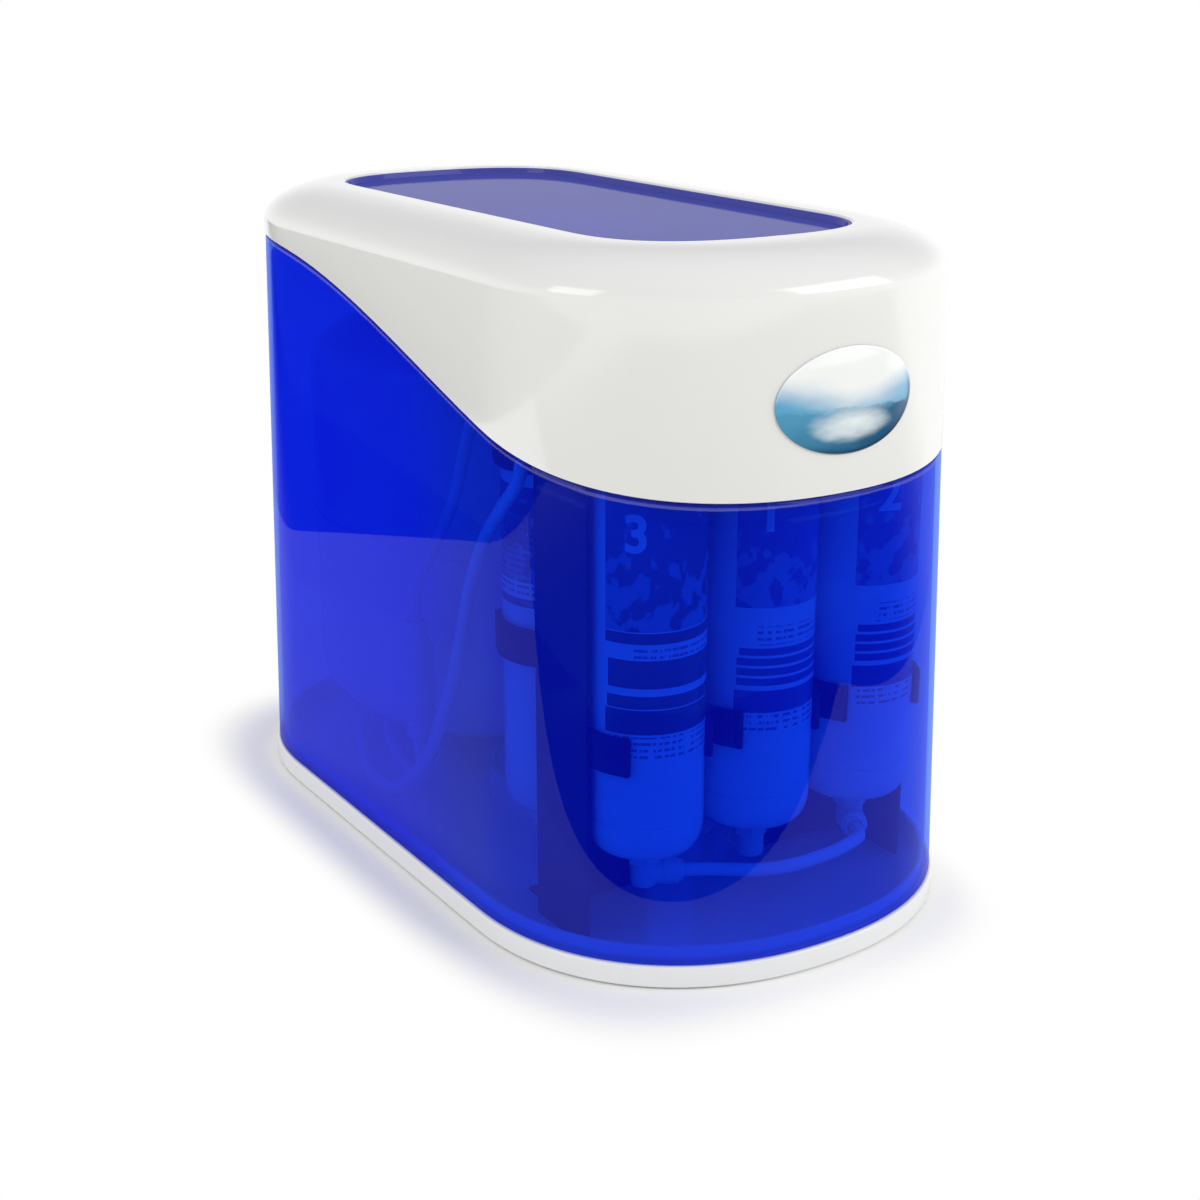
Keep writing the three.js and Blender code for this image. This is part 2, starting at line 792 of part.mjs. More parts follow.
// A push fit socket along +X with its mouth at the fitting's reach
function socket(reach, radius = fitting_radius) {
  const leg = turned([
    [0, 0],
    [radius, 0],
    [radius, reach - ring_length],
    [ring_radius, reach - ring_length],
    [ring_radius, reach],
    [bore_radius, reach],
    [bore_radius, reach - socket_depth],
    [0, reach - socket_depth],
  ], small_sides);
  return leg.rotate([0, 90, 0]);
}

// Upright stub between a boss and the level sockets, then a socket for each heading
function fitting(up, headings) {
  const stub = turned([
    [0, -fitting_radius],
    [fitting_radius, -fitting_radius],
    [fitting_radius, fitting_drop],
    [0, fitting_drop],
  ], small_sides);
  const upright = up ? stub : stub.rotate([180, 0, 0]);
  return join(upright, ...headings.map((degrees) => socket(fitting_reach).rotate([0, 0, degrees])));
}

const fitting_offset = boss_height + fit_gap + fitting_drop;

// Mouth of a fitting's socket and the way a tube leaves it
function mouth(place, degrees) {
  const angle = THREE.MathUtils.degToRad(degrees);
  const way = new THREE.Vector3(Math.cos(angle), Math.sin(angle), 0);
  return { at: new THREE.Vector3(...place).addScaledVector(way, fitting_reach), way };
}

// A tube from one socket to another, along points chosen by hand between them
function tube(from, to, route) {
  const inset = socket_depth - fit_gap;
  const along = (end, reach) => end.at.clone().addScaledVector(end.way, reach);
  const start = [along(from, -inset), along(from, 0), along(from, tube_lead)];
  const finish = [along(to, tube_lead), along(to, 0), along(to, -inset)];
  const points = [...start, ...route.map((point) => new THREE.Vector3(...point)), ...finish];
  const path = new THREE.CatmullRomCurve3(points, false, 'centripetal');
  const steps = Math.max(fewest_tube_steps, Math.round(path.getLength() / (tube_step_share * tube_radius)));
  const section = new THREE.Shape(Array.from({ length: tube_sides }, (_, count) => {
    const angle = (2 * Math.PI * count) / tube_sides;
    return new THREE.Vector2(tube_radius * Math.cos(angle), tube_radius * Math.sin(angle));
  }));
  return solid(new THREE.ExtrudeGeometry(section, { steps, extrudePath: path, bevelEnabled: false }));
}

// Pressure vessel of the membrane: a cup with its mouth down and two ports on top
function membraneHousing() {
  const height = vessel_top - vessel_bottom;
  const inner = vessel_radius - vessel_wall;
  const edge = vessel_end_wall / 2;
  let body = turned([
    [inner, 0],
    [vessel_radius, 0],
    [vessel_radius, height - edge],
    [vessel_radius - edge / 3, height - edge / 3],
    [vessel_radius - edge, height],
    [0, height],
    [0, height - vessel_end_wall],
    [inner, height - vessel_end_wall],
    [inner, 0],
  ], round_sides);
  const boss = turned([
    [0, -edge],
    [boss_radius, -edge],
    [boss_radius, boss_height],
    [0, boss_height],
  ], small_sides);
  for (const side of [-1, 1]) body = join(body, boss.translate([side * vessel_port_offset, 0, height]));
  return body;
}

// Screw cap of the vessel, ribbed for grip, with the feed boss below
function membraneCap() {
  const height = vessel_cap_top - vessel_cap_bottom;
  const inner = vessel_radius + fit_gap;
  const rib = (vessel_cap_radius - inner) / 2;
  const cup = turned([
    [0, -boss_height],
    [boss_radius, -boss_height],
    [boss_radius, 0],
    [vessel_cap_radius - rib, 0],
    [vessel_cap_radius - rib, height],
    [inner, height],
    [inner, vessel_cap_floor],
    [0, vessel_cap_floor],
  ], round_sides);
  const bar = block([inner + rib / 2, -rib, rib], [vessel_cap_radius, rib, height - rib]);
  const rib_turn = 360 / cap_rib_count;
  const ribs = Array.from({ length: cap_rib_count }, (_, count) => bar.rotate([0, 0, rib_turn * count]));
  return join(cup, ...ribs);
}

// Spiral wound element with its core tube and the seal that centres it
function membraneElement() {
  const low = vessel_cap_bottom + vessel_cap_floor + fit_gap;
  const high = vessel_top - vessel_end_wall - fit_gap;
  const seal = vessel_radius - vessel_wall - fit_gap;
  const body_low = vessel_bottom + element_core_reach;
  return turned([
    [0, low],
    [element_core_radius, low],
    [element_core_radius, body_low],
    [element_radius, body_low],
    [element_radius, body_low + element_seal_height],
    [seal, body_low + element_seal_height],
    [seal, body_low + 2 * element_seal_height],
    [element_radius, body_low + 2 * element_seal_height],
    [element_radius, high - element_core_reach],
    [element_core_radius, high - element_core_reach],
    [element_core_radius, high],
    [0, high],
  ], round_sides / 2);
}

// Steel tank: drawn halves with a seam, hollow, open only at its neck
function storageTank() {
  const low_centre = tank_bottom + tank_lower_dome;
  const high_centre = low_centre + tank_body;
  const neck_top = high_centre + tank_upper_dome + neck_height;
  const middle = (low_centre + high_centre) / 2;
  const seam = tank_seam_height / 2;
  const dome = (centre, radius, height, steps) => Array.from({ length: steps + 1 }, (_, step) => {
    const turn = (step * Math.PI) / (2 * steps);
    return [radius * Math.cos(turn), centre + height * Math.sin(turn)];
  });
  const inner = tank_radius - tank_wall;
  const outside = [
    ...dome(low_centre, tank_radius, -tank_lower_dome, dome_steps).reverse(),
    [tank_radius, middle - seam],
    [tank_radius + tank_seam, middle - seam],
    [tank_radius + tank_seam, middle + seam],
    [tank_radius, middle + seam],
    ...dome(high_centre, tank_radius, tank_upper_dome, dome_steps).slice(0, -1),
    [neck_radius, high_centre + tank_upper_dome],
    [neck_radius, neck_top],
    [neck_bore, neck_top],
    [neck_bore, high_centre + tank_upper_dome - tank_wall],
  ];
  const inside = [
    ...dome(high_centre, inner, tank_upper_dome - tank_wall, inner_steps).slice(0, -1).reverse(),
    ...dome(low_centre, inner, tank_wall - tank_lower_dome, inner_steps),
  ];
  const profile = [...outside, ...inside].map(([r, h]) => [r < fit_gap ? 0 : r, h]);
  return turned(profile, tank_sides);
}

const tank_top = tank_bottom + tank_lower_dome + tank_body + tank_upper_dome;
const valve_z = tank_top + fit_gap + nut_height + valve_ball_radius - valve_sink;

// Ball valve screwed on the neck, its outlet towards the front
function tankValve() {
  const low = tank_top + fit_gap;
  const bore = neck_radius + fit_gap;
  const nut = turned([
    [bore, low],
    [nut_radius, low],
    [nut_radius, low + nut_height],
    [0, low + nut_height],
    [0, tank_top + neck_height + fit_gap],
    [bore, tank_top + neck_height + fit_gap],
    [bore, low],
  ], round_sides);
  const sphere = new THREE.SphereGeometry(valve_ball_radius + fit_gap, 2 * arc_steps, arc_steps);
  const ball = solid(sphere.translate(0, 0, valve_z));
  const stem_top = valve_z + valve_ball_radius + valve_stem_height / 2;
  const stem = turned([
    [0, valve_z],
    [valve_stem_radius, valve_z],
    [valve_stem_radius, stem_top],
    [0, stem_top],
  ], small_sides);
  const outlet = socket(valve_reach).rotate([0, 0, -90]).translate([0, 0, valve_z]);
  return { body: join(nut, ball, stem, outlet), stem_top };
}

// Lever above the valve, lying along the outlet when open
function tankLever() {
  const shape = new THREE.Shape();
  const reach = lever_length - lever_tip_radius;
  const slope = Math.asin((lever_hub_radius - lever_tip_radius) / reach);
  shape.absarc(0, 0, lever_hub_radius, slope, Math.PI - slope, false);
  shape.absarc(0, -reach, lever_tip_radius, Math.PI + slope, 2 * Math.PI - slope, false);
  shape.closePath();
  return plateUp(shape, 0, lever_thickness, cut_steps);
}

// Four port valve, a drum on the back of the bracket
function shutoffValve() {
  const drum = alongY(turned([
    [0, 0],
    [shutoff_radius, 0],
    [shutoff_radius, shutoff_depth - ring_length],
    [shutoff_radius - ring_length, shutoff_depth],
    [0, shutoff_depth],
  ], round_sides / 2), 0, bracket_back + fit_gap, shutoff_z);
  let body = drum;
  for (const side of [-1, 1]) {
    for (const up of [-1, 1]) {
      const port = socket(shutoff_port_reach, shutoff_port_radius).rotate([0, -90 * up, 0]);
      body = join(body, port.translate([side * shutoff_port_x, shutoff_y, shutoff_z]));
    }
  }
  return body;
}

function shutoffMouth(side, up) {
  const way = new THREE.Vector3(0, 0, up);
  const at = new THREE.Vector3(side * shutoff_port_x, shutoff_y, shutoff_z + up * shutoff_port_reach);
  return { at, way };
}

// Inline restrictor: a stout tube with a socket at each end
function flowRestrictor() {
  const low = restrictor_bottom - restrictor_neck;
  const high = restrictor_bottom + restrictor_body + restrictor_neck;
  const top = restrictor_bottom + restrictor_body;
  return turned([
    [0, low + socket_depth],
    [bore_radius, low + socket_depth],
    [bore_radius, low],
    [restrictor_neck_radius, low],
    [restrictor_neck_radius, restrictor_bottom - ring_length],
    [restrictor_radius, restrictor_bottom],
    [restrictor_radius, top],
    [restrictor_neck_radius, top + ring_length],
    [restrictor_neck_radius, high],
    [bore_radius, high],
    [bore_radius, high - socket_depth],
    [0, high - socket_depth],
  ], port_sides);
}

function restrictorMouth(up) {
  const middle = restrictor_bottom + restrictor_body / 2;
  const reach = restrictor_body / 2 + restrictor_neck;
  return {
    at: new THREE.Vector3(restrictor_x, restrictor_y, middle + up * reach),
    way: new THREE.Vector3(0, 0, up),
  };
}

// Bulkhead port: flange and nose outside the wall, thread through it, socket inside
function bulkheadPort() {
  const flange_low = bay_wall + fit_gap;
  const nose = flange_low + port_flange + port_nose;
  const pocket = nose - collet_sleeve - collet_travel;
  return turned([
    [0, socket_depth - port_tail],
    [bore_radius, socket_depth - port_tail],
    [bore_radius, -port_tail],
    [port_tail_radius, -port_tail],
    [port_tail_radius, -fit_gap],
    [port_thread_radius, -fit_gap],
    [port_thread_radius, flange_low],
    [port_flange_radius, flange_low],
    [port_flange_radius, flange_low + port_flange],
    [port_nose_radius, flange_low + port_flange],
    [port_nose_radius, nose],
    [sleeve_pocket_radius, nose],
    [sleeve_pocket_radius, pocket],
    [bore_radius, pocket],
    [bore_radius, bay_wall],
    [0, bay_wall],
  ], port_sides);
}

function portCollet() {
  const face = bay_wall + fit_gap + port_flange + port_nose + collet_travel + fit_gap;
  const low = face - collet_travel - collet_sleeve;
  return turned([
    [collet_bore, low],
    [collet_sleeve_radius, low],
    [collet_sleeve_radius, face],
    [collet_head_radius, face],
    [collet_head_radius, face + collet_head],
    [collet_bore, face + collet_head],
    [collet_bore, low],
  ], port_sides);
}

function portMouth(x) {
  return {
    at: new THREE.Vector3(x, port_wall - bay_wall - port_tail, port_z),
    way: new THREE.Vector3(0, -1, 0),
  };
}

// Assembly
const purifier = new THREE.Group();
const standing = new THREE.Group();
const housing = new THREE.Group();
purifier.add(standing, housing);

piece(housing, 'shell', shell(), blue_clear);
piece(housing, 'cap', cap(), white_gloss);
piece(housing, 'window_panel', windowPanel(), blue_clear);
piece(housing, 'badge', badge(), badge_finish);

piece(standing, 'base_tray', baseTray(), white_gloss);
const corners = [[-1, -1], [1, -1], [1, 1], [-1, 1]];
corners.forEach(([across, along], index) => {
  piece(standing, `foot_${index + 1}`, rubberFoot(), rubber, [across * foot_side, along * foot_length, 0]);
});

piece(standing, 'bracket', bracket(), dark_sheet);
const screw_y = bracket_back + tab_length / 2;
piece(standing, 'bracket_screw_left', bracketScrew(), steel, [-tab_centre, screw_y, 0]);
piece(standing, 'bracket_screw_right', bracketScrew(), steel, [tab_centre, screw_y, 0]);
piece(standing, 'clip_rail_low', clipRail(clip_low_z, clip_low_grip), dark_plastic);
piece(standing, 'clip_rail_high', clipRail(clip_high_z, clip_high_grip), dark_plastic);

// Headings of the sockets, in degrees from +X, in the order of the cartridges
const top_headings = [0, 180, 90];
const bottom_headings = [90, 240, -28];
const top_fittings = [];
const bottom_fittings = [];
const bottom_z = cartridge_bottom - fitting_offset;
const top_z = cartridge_top + fitting_offset;
cartridge_xs.forEach((x, index) => {
  const stage = index + 1;
  const body = filterBody(cartridge_radius, cartridge_length);
  piece(standing, `cartridge_${stage}`, body, filter_white, [x, cartridge_row, cartridge_bottom]);
  const top_place = [x, cartridge_row, top_z];
  const bottom_place = [x, cartridge_row, bottom_z];
  piece(standing, `elbow_${stage}_top`, fitting(false, [top_headings[index]]), fitting_white, top_place);
  piece(standing, `elbow_${stage}_bottom`, fitting(true, [bottom_headings[index]]), fitting_white, bottom_place);
  top_fittings.push(mouth(top_place, top_headings[index]));
  bottom_fittings.push(mouth(bottom_place, bottom_headings[index]));
});

const post_top = post_bottom + cartridge_length + fitting_offset;
const post_low = post_bottom - fitting_offset;
const post_top_heading = 233;
const post_elbow_place = [post_x, post_y, post_top];
const tee_place = [post_x, post_y, post_low];
const post_body = filterBody(cartridge_radius, cartridge_length);
piece(standing, 'post_filter', post_body, filter_white, [post_x, post_y, post_bottom]);
piece(standing, 'post_clip_low', backClip(post_x, post_y, back_clip_low_z, cartridge_radius), dark_plastic);
piece(standing, 'post_clip_high', backClip(post_x, post_y, back_clip_high_z, cartridge_radius), dark_plastic);
piece(standing, 'post_elbow', fitting(false, [post_top_heading]), fitting_white, post_elbow_place);
piece(standing, 'post_tee', fitting(true, [0, 90]), fitting_white, tee_place);

const vessel_place = [membrane_x, membrane_y, vessel_bottom];
const vessel_fitting_z = vessel_top + fitting_offset;
const feed_fitting_z = vessel_cap_bottom - fitting_offset;
piece(standing, 'membrane_housing', membraneHousing(), filter_white, vessel_place);
piece(standing, 'membrane_cap', membraneCap(), filter_white, [membrane_x, membrane_y, vessel_cap_bottom]);
piece(standing, 'membrane_element', membraneElement(), filter_white, [membrane_x, membrane_y, 0]);
const membraneClip = (z) => backClip(membrane_x, membrane_y, z, vessel_radius);
piece(standing, 'membrane_clip_low', membraneClip(back_clip_low_z), dark_plastic);
piece(standing, 'membrane_clip_high', membraneClip(back_clip_high_z), dark_plastic);
const feed_place = [membrane_x, membrane_y, feed_fitting_z];
const permeate_place = [membrane_x - vessel_port_offset, membrane_y, vessel_fitting_z];
const brine_place = [membrane_x + vessel_port_offset, membrane_y, vessel_fitting_z];
const permeate_heading = 210;
piece(standing, 'membrane_feed_elbow', fitting(true, [180]), fitting_white, feed_place);
piece(standing, 'check_valve_elbow', fitting(false, [permeate_heading]), fitting_white, permeate_place);
piece(standing, 'drain_elbow', fitting(false, [90]), fitting_white, brine_place);

piece(standing, 'storage_tank', storageTank(), tank_enamel, [0, tank_y, 0]);
const valve = tankValve();
piece(standing, 'tank_valve', valve.body, fitting_white, [0, tank_y, 0]);
piece(standing, 'tank_valve_lever', tankLever(), lever_blue, [0, tank_y, valve.stem_top + fit_gap]);
piece(standing, 'auto_shutoff_valve', shutoffValve(), fitting_white);
piece(standing, 'flow_restrictor', flowRestrictor(), dark_plastic, [restrictor_x, restrictor_y, 0]);

const port_names = ['feed', 'drain', 'product'];
portPlaces().forEach((x, index) => {
  const place = [x, port_wall - bay_wall, port_z];
  piece(standing, `${port_names[index]}_port`, alongY(bulkheadPort(), 0, 0, 0), fitting_white, place);
  piece(standing, `${port_names[index]}_collet`, alongY(portCollet(), 0, 0, 0), lever_blue, place);
});
const [feed_mouth, drain_mouth, product_mouth] = portPlaces().map(portMouth);
const valve_mouth = {
  at: new THREE.Vector3(0, tank_y - valve_reach, valve_z),
  way: new THREE.Vector3(0, -1, 0),
};

// Points that the inner tubes pass: lanes behind the bracket, beside it and round the tank
const restrictor_top = restrictor_bottom + restrictor_body + restrictor_neck;
const behindBracket = (x, behind, z) => [x, shutoff_y + behind, z];
const behindPost = (x, behind, z) => [x, post_y + behind, z];
const inFront = (across, ahead) => [across * cartridge_pitch, cartridge_row - ahead, bottom_z];
const alongFlank = (share) => bracket_back + share * (tank_y - bracket_back);
const onFlank = (outside, share, z) => [-bracket_half_width - outside, alongFlank(share), z];
const outsideRestrictor = (outside, share, z) => [restrictor_x - outside, alongFlank(share), z];
const roundTank = (across, along, z) => [across * tank_radius, tank_y + along * tank_radius, z];
const upFilters = (share) => cartridge_bottom + share * cartridge_length;
const upPost = (share) => share * post_top;
const upFlank = (share) => restrictor_top + share * (top_z - restrictor_top);

const tubes = {
  feed_tube: tube(feed_mouth, bottom_fittings[0], [
    roundTank(0.469, 0.592, 22), roundTank(0.714, 0.265, 14), roundTank(0.816, -0.306, 12),
    roundTank(0.735, -0.898, 11), behindPost(50, 28.8, 11), behindPost(22, -9.2, 13), behindBracket(5, -10, 26),
  ]),
  stage_1_to_2_tube: tube(top_fittings[0], top_fittings[1], []),
  stage_2_to_3_tube: tube(bottom_fittings[1], bottom_fittings[2], [
    inFront(0.623, 28), inFront(0.426, 31), inFront(0.213, 32), inFront(-0.033, 31.5), inFront(-0.262, 27),
  ]),
  stage_3_to_valve_tube: tube(top_fittings[2], shutoffMouth(-1, 1), [
    behindBracket(7 - cartridge_pitch, -14, top_z + 0.7), behindBracket(-38, -3, top_z + 0.7),
    behindBracket(-20, 0, top_z - 3.3), behindBracket(-10, 0, top_z - 9.3),
  ]),
  valve_to_membrane_tube: tube(shutoffMouth(1, -1), mouth(feed_place, 180), [
    behindBracket(8, 0, upFilters(0.504)), behindBracket(8, 0, upFilters(0.246)),
    behindBracket(10, 3, 66), behindPost(16, -8, 38), behindPost(26, 0, 27),
  ]),
  permeate_tube: tube(mouth(permeate_place, permeate_heading), shutoffMouth(1, 1), [
    behindBracket(20, 5, top_z), behindBracket(11, 1, top_z - 7.3),
  ]),
  valve_to_tee_tube: tube(shutoffMouth(-1, -1), mouth(tee_place, 0), [
    behindBracket(-8, 0, upFilters(0.504)), behindBracket(-8, 0, upFilters(0.246)),
    behindBracket(-10, 3, 70), behindPost(-16, -8, 43), behindPost(-26, 0, 32),
  ]),
  tank_tube: tube(mouth(tee_place, 90), valve_mouth, [
    behindPost(post_x + 2, 37, 34), behindPost(post_x + 8, 51, 60), behindPost(post_x + 14, 59, upFilters(0.246)),
    behindPost(post_x + 18, 61, upFilters(0.504)), behindPost(post_x + 24, 65, upFilters(0.741)),
    roundTank(-0.265, -0.918, tank_top), roundTank(-0.082, -0.612, valve_z - 3),
  ]),
  product_tube: tube(mouth(post_elbow_place, post_top_heading), product_mouth, [
    onFlank(-11, 0.012, post_top), onFlank(-2, -0.023, post_top), onFlank(5.5, -0.043, upPost(0.975)),
    onFlank(7.5, -0.043, upPost(0.917)), onFlank(7, -0.033, upPost(0.835)), onFlank(5.5, 0.007, upPost(0.753)),
    onFlank(5, 0.091, upPost(0.691)), onFlank(5, 0.17, upPost(0.63)), onFlank(5, 0.249, upPost(0.53)),
    onFlank(5, 0.308, upPost(0.417)), onFlank(5, 0.392, upPost(0.287)),
    outsideRestrictor(7, 0.496, 50), outsideRestrictor(10, 0.615, 27), outsideRestrictor(7, 0.783, 16),
    roundTank(-0.857, 0.03, 13), roundTank(-0.694, 0.408, 15),
    roundTank(-0.449, 0.653, 23),
  ]),
  membrane_to_restrictor_tube: tube(mouth(brine_place, 90), restrictorMouth(1), [
    behindPost(membrane_x + 7, 39, top_z + 1.7), behindPost(0.75 * membrane_x, 55, top_z + 3.7),
    behindPost(0, 59, top_z + 3.7), behindPost(post_x + 18, 51, top_z - 8.3),
    onFlank(-23, 0.338, upFlank(0.79)), onFlank(-7, 0.338, upFlank(0.603)), onFlank(-3, 0.387, upFlank(0.411)),
    onFlank(-1.5, 0.486, upFlank(0.241)), onFlank(-1, 0.565, upFlank(0.132)),
  ]),
  drain_tube: tube(restrictorMouth(-1), drain_mouth, [
    [restrictor_x + 2, restrictor_y + 2, 38], roundTank(-0.82, -0.633, 21), roundTank(-0.745, -0.347, 12),
    roundTank(-0.673, 0, 12), roundTank(-0.551, 0.327, 13), roundTank(-0.286, 0.571, 19),
    roundTank(-0.071, 0.694, 25),
  ]),
};
for (const [name, body] of Object.entries(tubes)) piece(standing, name, body, tube_white);

export default purifier;
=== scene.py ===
"""Looks of a compact water purifier: a see-through blue housing over a tray of filters and a tank."""

import json
import math

import bmesh
import bpy
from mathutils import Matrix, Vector


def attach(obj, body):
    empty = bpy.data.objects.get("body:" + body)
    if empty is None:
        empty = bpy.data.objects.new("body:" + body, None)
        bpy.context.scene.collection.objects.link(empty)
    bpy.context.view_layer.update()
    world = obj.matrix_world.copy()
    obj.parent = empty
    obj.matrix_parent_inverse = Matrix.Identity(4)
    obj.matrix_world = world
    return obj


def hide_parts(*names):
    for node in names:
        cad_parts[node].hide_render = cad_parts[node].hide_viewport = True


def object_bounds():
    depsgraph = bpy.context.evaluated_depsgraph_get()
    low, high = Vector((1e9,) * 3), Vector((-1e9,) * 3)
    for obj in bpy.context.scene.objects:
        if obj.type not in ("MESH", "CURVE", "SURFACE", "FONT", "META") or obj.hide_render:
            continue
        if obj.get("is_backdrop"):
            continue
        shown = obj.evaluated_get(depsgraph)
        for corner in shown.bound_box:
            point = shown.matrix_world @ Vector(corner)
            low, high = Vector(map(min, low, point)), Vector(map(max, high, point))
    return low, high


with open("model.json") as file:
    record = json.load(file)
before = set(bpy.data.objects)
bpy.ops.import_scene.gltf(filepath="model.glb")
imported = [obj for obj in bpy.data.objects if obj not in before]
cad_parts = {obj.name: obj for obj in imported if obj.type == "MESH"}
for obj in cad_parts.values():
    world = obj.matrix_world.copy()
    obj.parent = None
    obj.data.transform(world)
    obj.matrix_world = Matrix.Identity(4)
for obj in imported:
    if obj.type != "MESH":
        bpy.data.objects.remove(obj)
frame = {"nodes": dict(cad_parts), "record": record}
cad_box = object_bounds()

MM = 0.001  # pieces are modelled in millimetres and settled in metres

# Lower edge of the cap, level in front and rising in an S: where it starts, its run, height and rise
EDGE_FRONT, EDGE_RUN, EDGE_LOW, EDGE_RISE = -247.013, 399.936, 221, 79
BADGE_X, BADGE_Z, BADGE_HALF, BADGE_RISE = 4, 262.5, 37.3, 22.8
FIELD_LOW, FIELD_HEIGHT = 164, 76  # coloured field of the filter labels
FILM_SPAN, FILM_HALF = 250, 59.2  # degrees of a label round its filter, and half of that as a length


# ---- materials


def binary(operation):
    """The method behind an operator such as +."""
    return lambda value, other: value.math(operation, value, other)


class Value:
    """A number that varies over a surface. Expressions on it add Math nodes."""

    __add__, __sub__, __mul__ = binary("ADD"), binary("SUBTRACT"), binary("MULTIPLY")
    __truediv__, __gt__, __lt__ = binary("DIVIDE"), binary("GREATER_THAN"), binary("LESS_THAN")

    def __init__(self, finish, socket):
        self.finish = finish
        self.socket = socket

    def math(self, operation, *parts):
        return self.finish.node("Math", {"operation": operation}, *parts)

    def __rsub__(self, other):
        return self.math("SUBTRACT", other, self)

    def fade(self, low, high):
        """0 below low, 1 above high, smooth between."""
        settings = {"interpolation_type": "SMOOTHSTEP"}
        return self.finish.node("MapRange", settings, self, low, high, 0.0, 1.0)

    def band(self, low, high):
        return (self > low) * (self < high)


class Finish:
    """One material, or the studio's sky, and the nodes that make it."""

    def __init__(self, name, kind="materials"):
        self.material = getattr(bpy.data, kind).new(name)
        self.material.use_nodes = True
        self.tree = self.material.node_tree
        self.tree.nodes.clear()
        self.end = "OutputMaterial" if kind == "materials" else "OutputWorld"

    def node(self, kind, settings, *parts, output=0, **named):
        """Adds a node: its settings first, then the values or links of its sockets."""
        node = self.tree.nodes.new("ShaderNode" + kind)
        for key, setting in settings.items():
            setattr(node, key, setting)
        named = [(node.inputs[key.replace("_", " ")], part) for key, part in named.items()]
        for socket, part in [*zip(node.inputs, parts), *named]:
            if isinstance(part, Value):
                self.tree.links.new(part.socket, socket)
            elif part is not None:
                socket.default_value = part
        return Value(self, node.outputs[output])

    def place(self, output=3):
        """The surface's own place in metres, or another output of Texture Coordinate, as three Values."""
        coordinates = self.node("TexCoord", {}, output=output)
        split = self.node("SeparateXYZ", {}, coordinates).socket.node
        return [Value(self, out) for out in split.outputs]

    def noise(self, scale, detail=2.0, stretch=(1, 1, 1)):
        coordinates = self.node("TexCoord", {}, output=3)
        mapped = self.node("Mapping", {}, coordinates, Scale=stretch)
        return self.node("TexNoise", {}, Vector=mapped, Scale=scale, Detail=detail)

    def blend(self, factor, first, second):
        """A colour between two colours."""
        node = self.tree.nodes.new("ShaderNodeMix")
        node.data_type = "RGBA"
        sockets = [s for s in node.inputs if s.enabled]
        for socket, part in zip(sockets, (factor, first, second)):
            if isinstance(part, Value):
                self.tree.links.new(part.socket, socket)
            else:
                socket.default_value = part
        return Value(self, next(s for s in node.outputs if s.enabled))

    def seen(self, *kinds):
        """1 for rays of these kinds: Camera, Glossy or Transmission."""
        path = self.node("LightPath", {}).socket.node
        total = Value(self, path.outputs[f"Is {kinds[0]} Ray"])
        for kind in kinds[1:]:
            total = total.math("MAXIMUM", total, Value(self, path.outputs[f"Is {kind} Ray"]))
        return total

    def bump(self, height, depth):
        return self.node("Bump", {}, Strength=1.0, Distance=depth, Height=height)

    def principled(self, **named):
        return self.node("BsdfPrincipled", {}, **named)

    def show(self, shader):
        output = self.tree.nodes.new("ShaderNode" + self.end)
        self.tree.links.new(shader.socket, output.inputs["Surface"])
        return self.material


def rgb(red, green, blue):
    return (red, green, blue, 1.0)


def moulded(name, color, roughness, coat=0.0, grain=0.00002, metal=0.0):
    """Moulded plastic or enamel: slightly uneven colour and gloss, and a fine ripple in the skin."""
    finish = Finish(name)
    cloud = finish.noise(9.0, 3.0)
    ripple = finish.noise(700.0, 2.0)
    dark = rgb(*(channel * 0.98 for channel in color[:3]))
    shader = finish.principled(
        Base_Color=finish.blend(cloud, dark, color),
        Metallic=metal,
        Roughness=cloud * 0.06 + (roughness - 0.03),
        Coat_Weight=coat,
        Coat_Roughness=0.03,
        Normal=finish.bump(ripple, grain),
    )
    return finish.show(shader)


def clear_blue(name, scatter, milk=(0.003, 0.008, 0.95), clear=(0.003, 0.008, 1.0), seam=False):
    """Tinted see-through plastic: passes blue, scatters a little of its own, and mirrors at its skin.

    With a seam, it is denser and painted deep navy in the last millimetres under the cap and at the foot, a
    painted shade along its joints with the cap and the tray. It is denser towards the back too, and the
    shoulder under the cap is glossier.
    """
    finish = Finish(name)
    cloud = finish.noise(14.0, 2.0)
    passed = finish.node("BsdfTransparent", {}, Color=rgb(0.29, 0.545, 0.99))
    colour = finish.blend(cloud, rgb(*milk), rgb(*clear))
    slant = finish.node("LayerWeight", {}, output=1, Blend=0.5)
    mirror = slant.math("POWER", slant, 5.0) * 0.27 + 0.014
    density = scatter
    if seam:
        _, y, z = finish.place()
        turn = finish.node("MapRange", {}, y, EDGE_FRONT * MM, (EDGE_FRONT + EDGE_RUN) * MM, 0.0, math.pi)
        middle, swing = (EDGE_LOW + EDGE_RISE / 2) * MM, EDGE_RISE / 2 * MM
        below = middle - turn.math("COSINE", turn) * swing - z
        # painted shade: deep navy in the last millimetres under the cap's edge, where the joint is in shade
        seam_shade = 1 - below.fade(0.0014, 0.0026)
        # painted shade: a thin deep navy band at the shell's foot, just above the tray
        foot = 1 - z.fade(0.0135, 0.0150)
        density = seam_shade * 0.5 + foot * 0.1 + y.fade(-0.10, -0.01) * 0.22 + scatter
        colour = finish.blend(seam_shade.math("MAXIMUM", seam_shade, foot * 0.5), colour, rgb(0.003, 0.004, 0.28))
        mirror = mirror + below.band(0.0019, 0.0034) * 0.06
    body = finish.principled(Base_Color=colour, Roughness=0.35, Specular_IOR_Level=0.0)
    inside = finish.node("MixShader", {}, density, passed, body)
    gloss = finish.node("BsdfGlossy", {}, Color=rgb(1, 1, 1), Roughness=0.02)
    return finish.show(finish.node("MixShader", {}, mirror, inside, gloss))


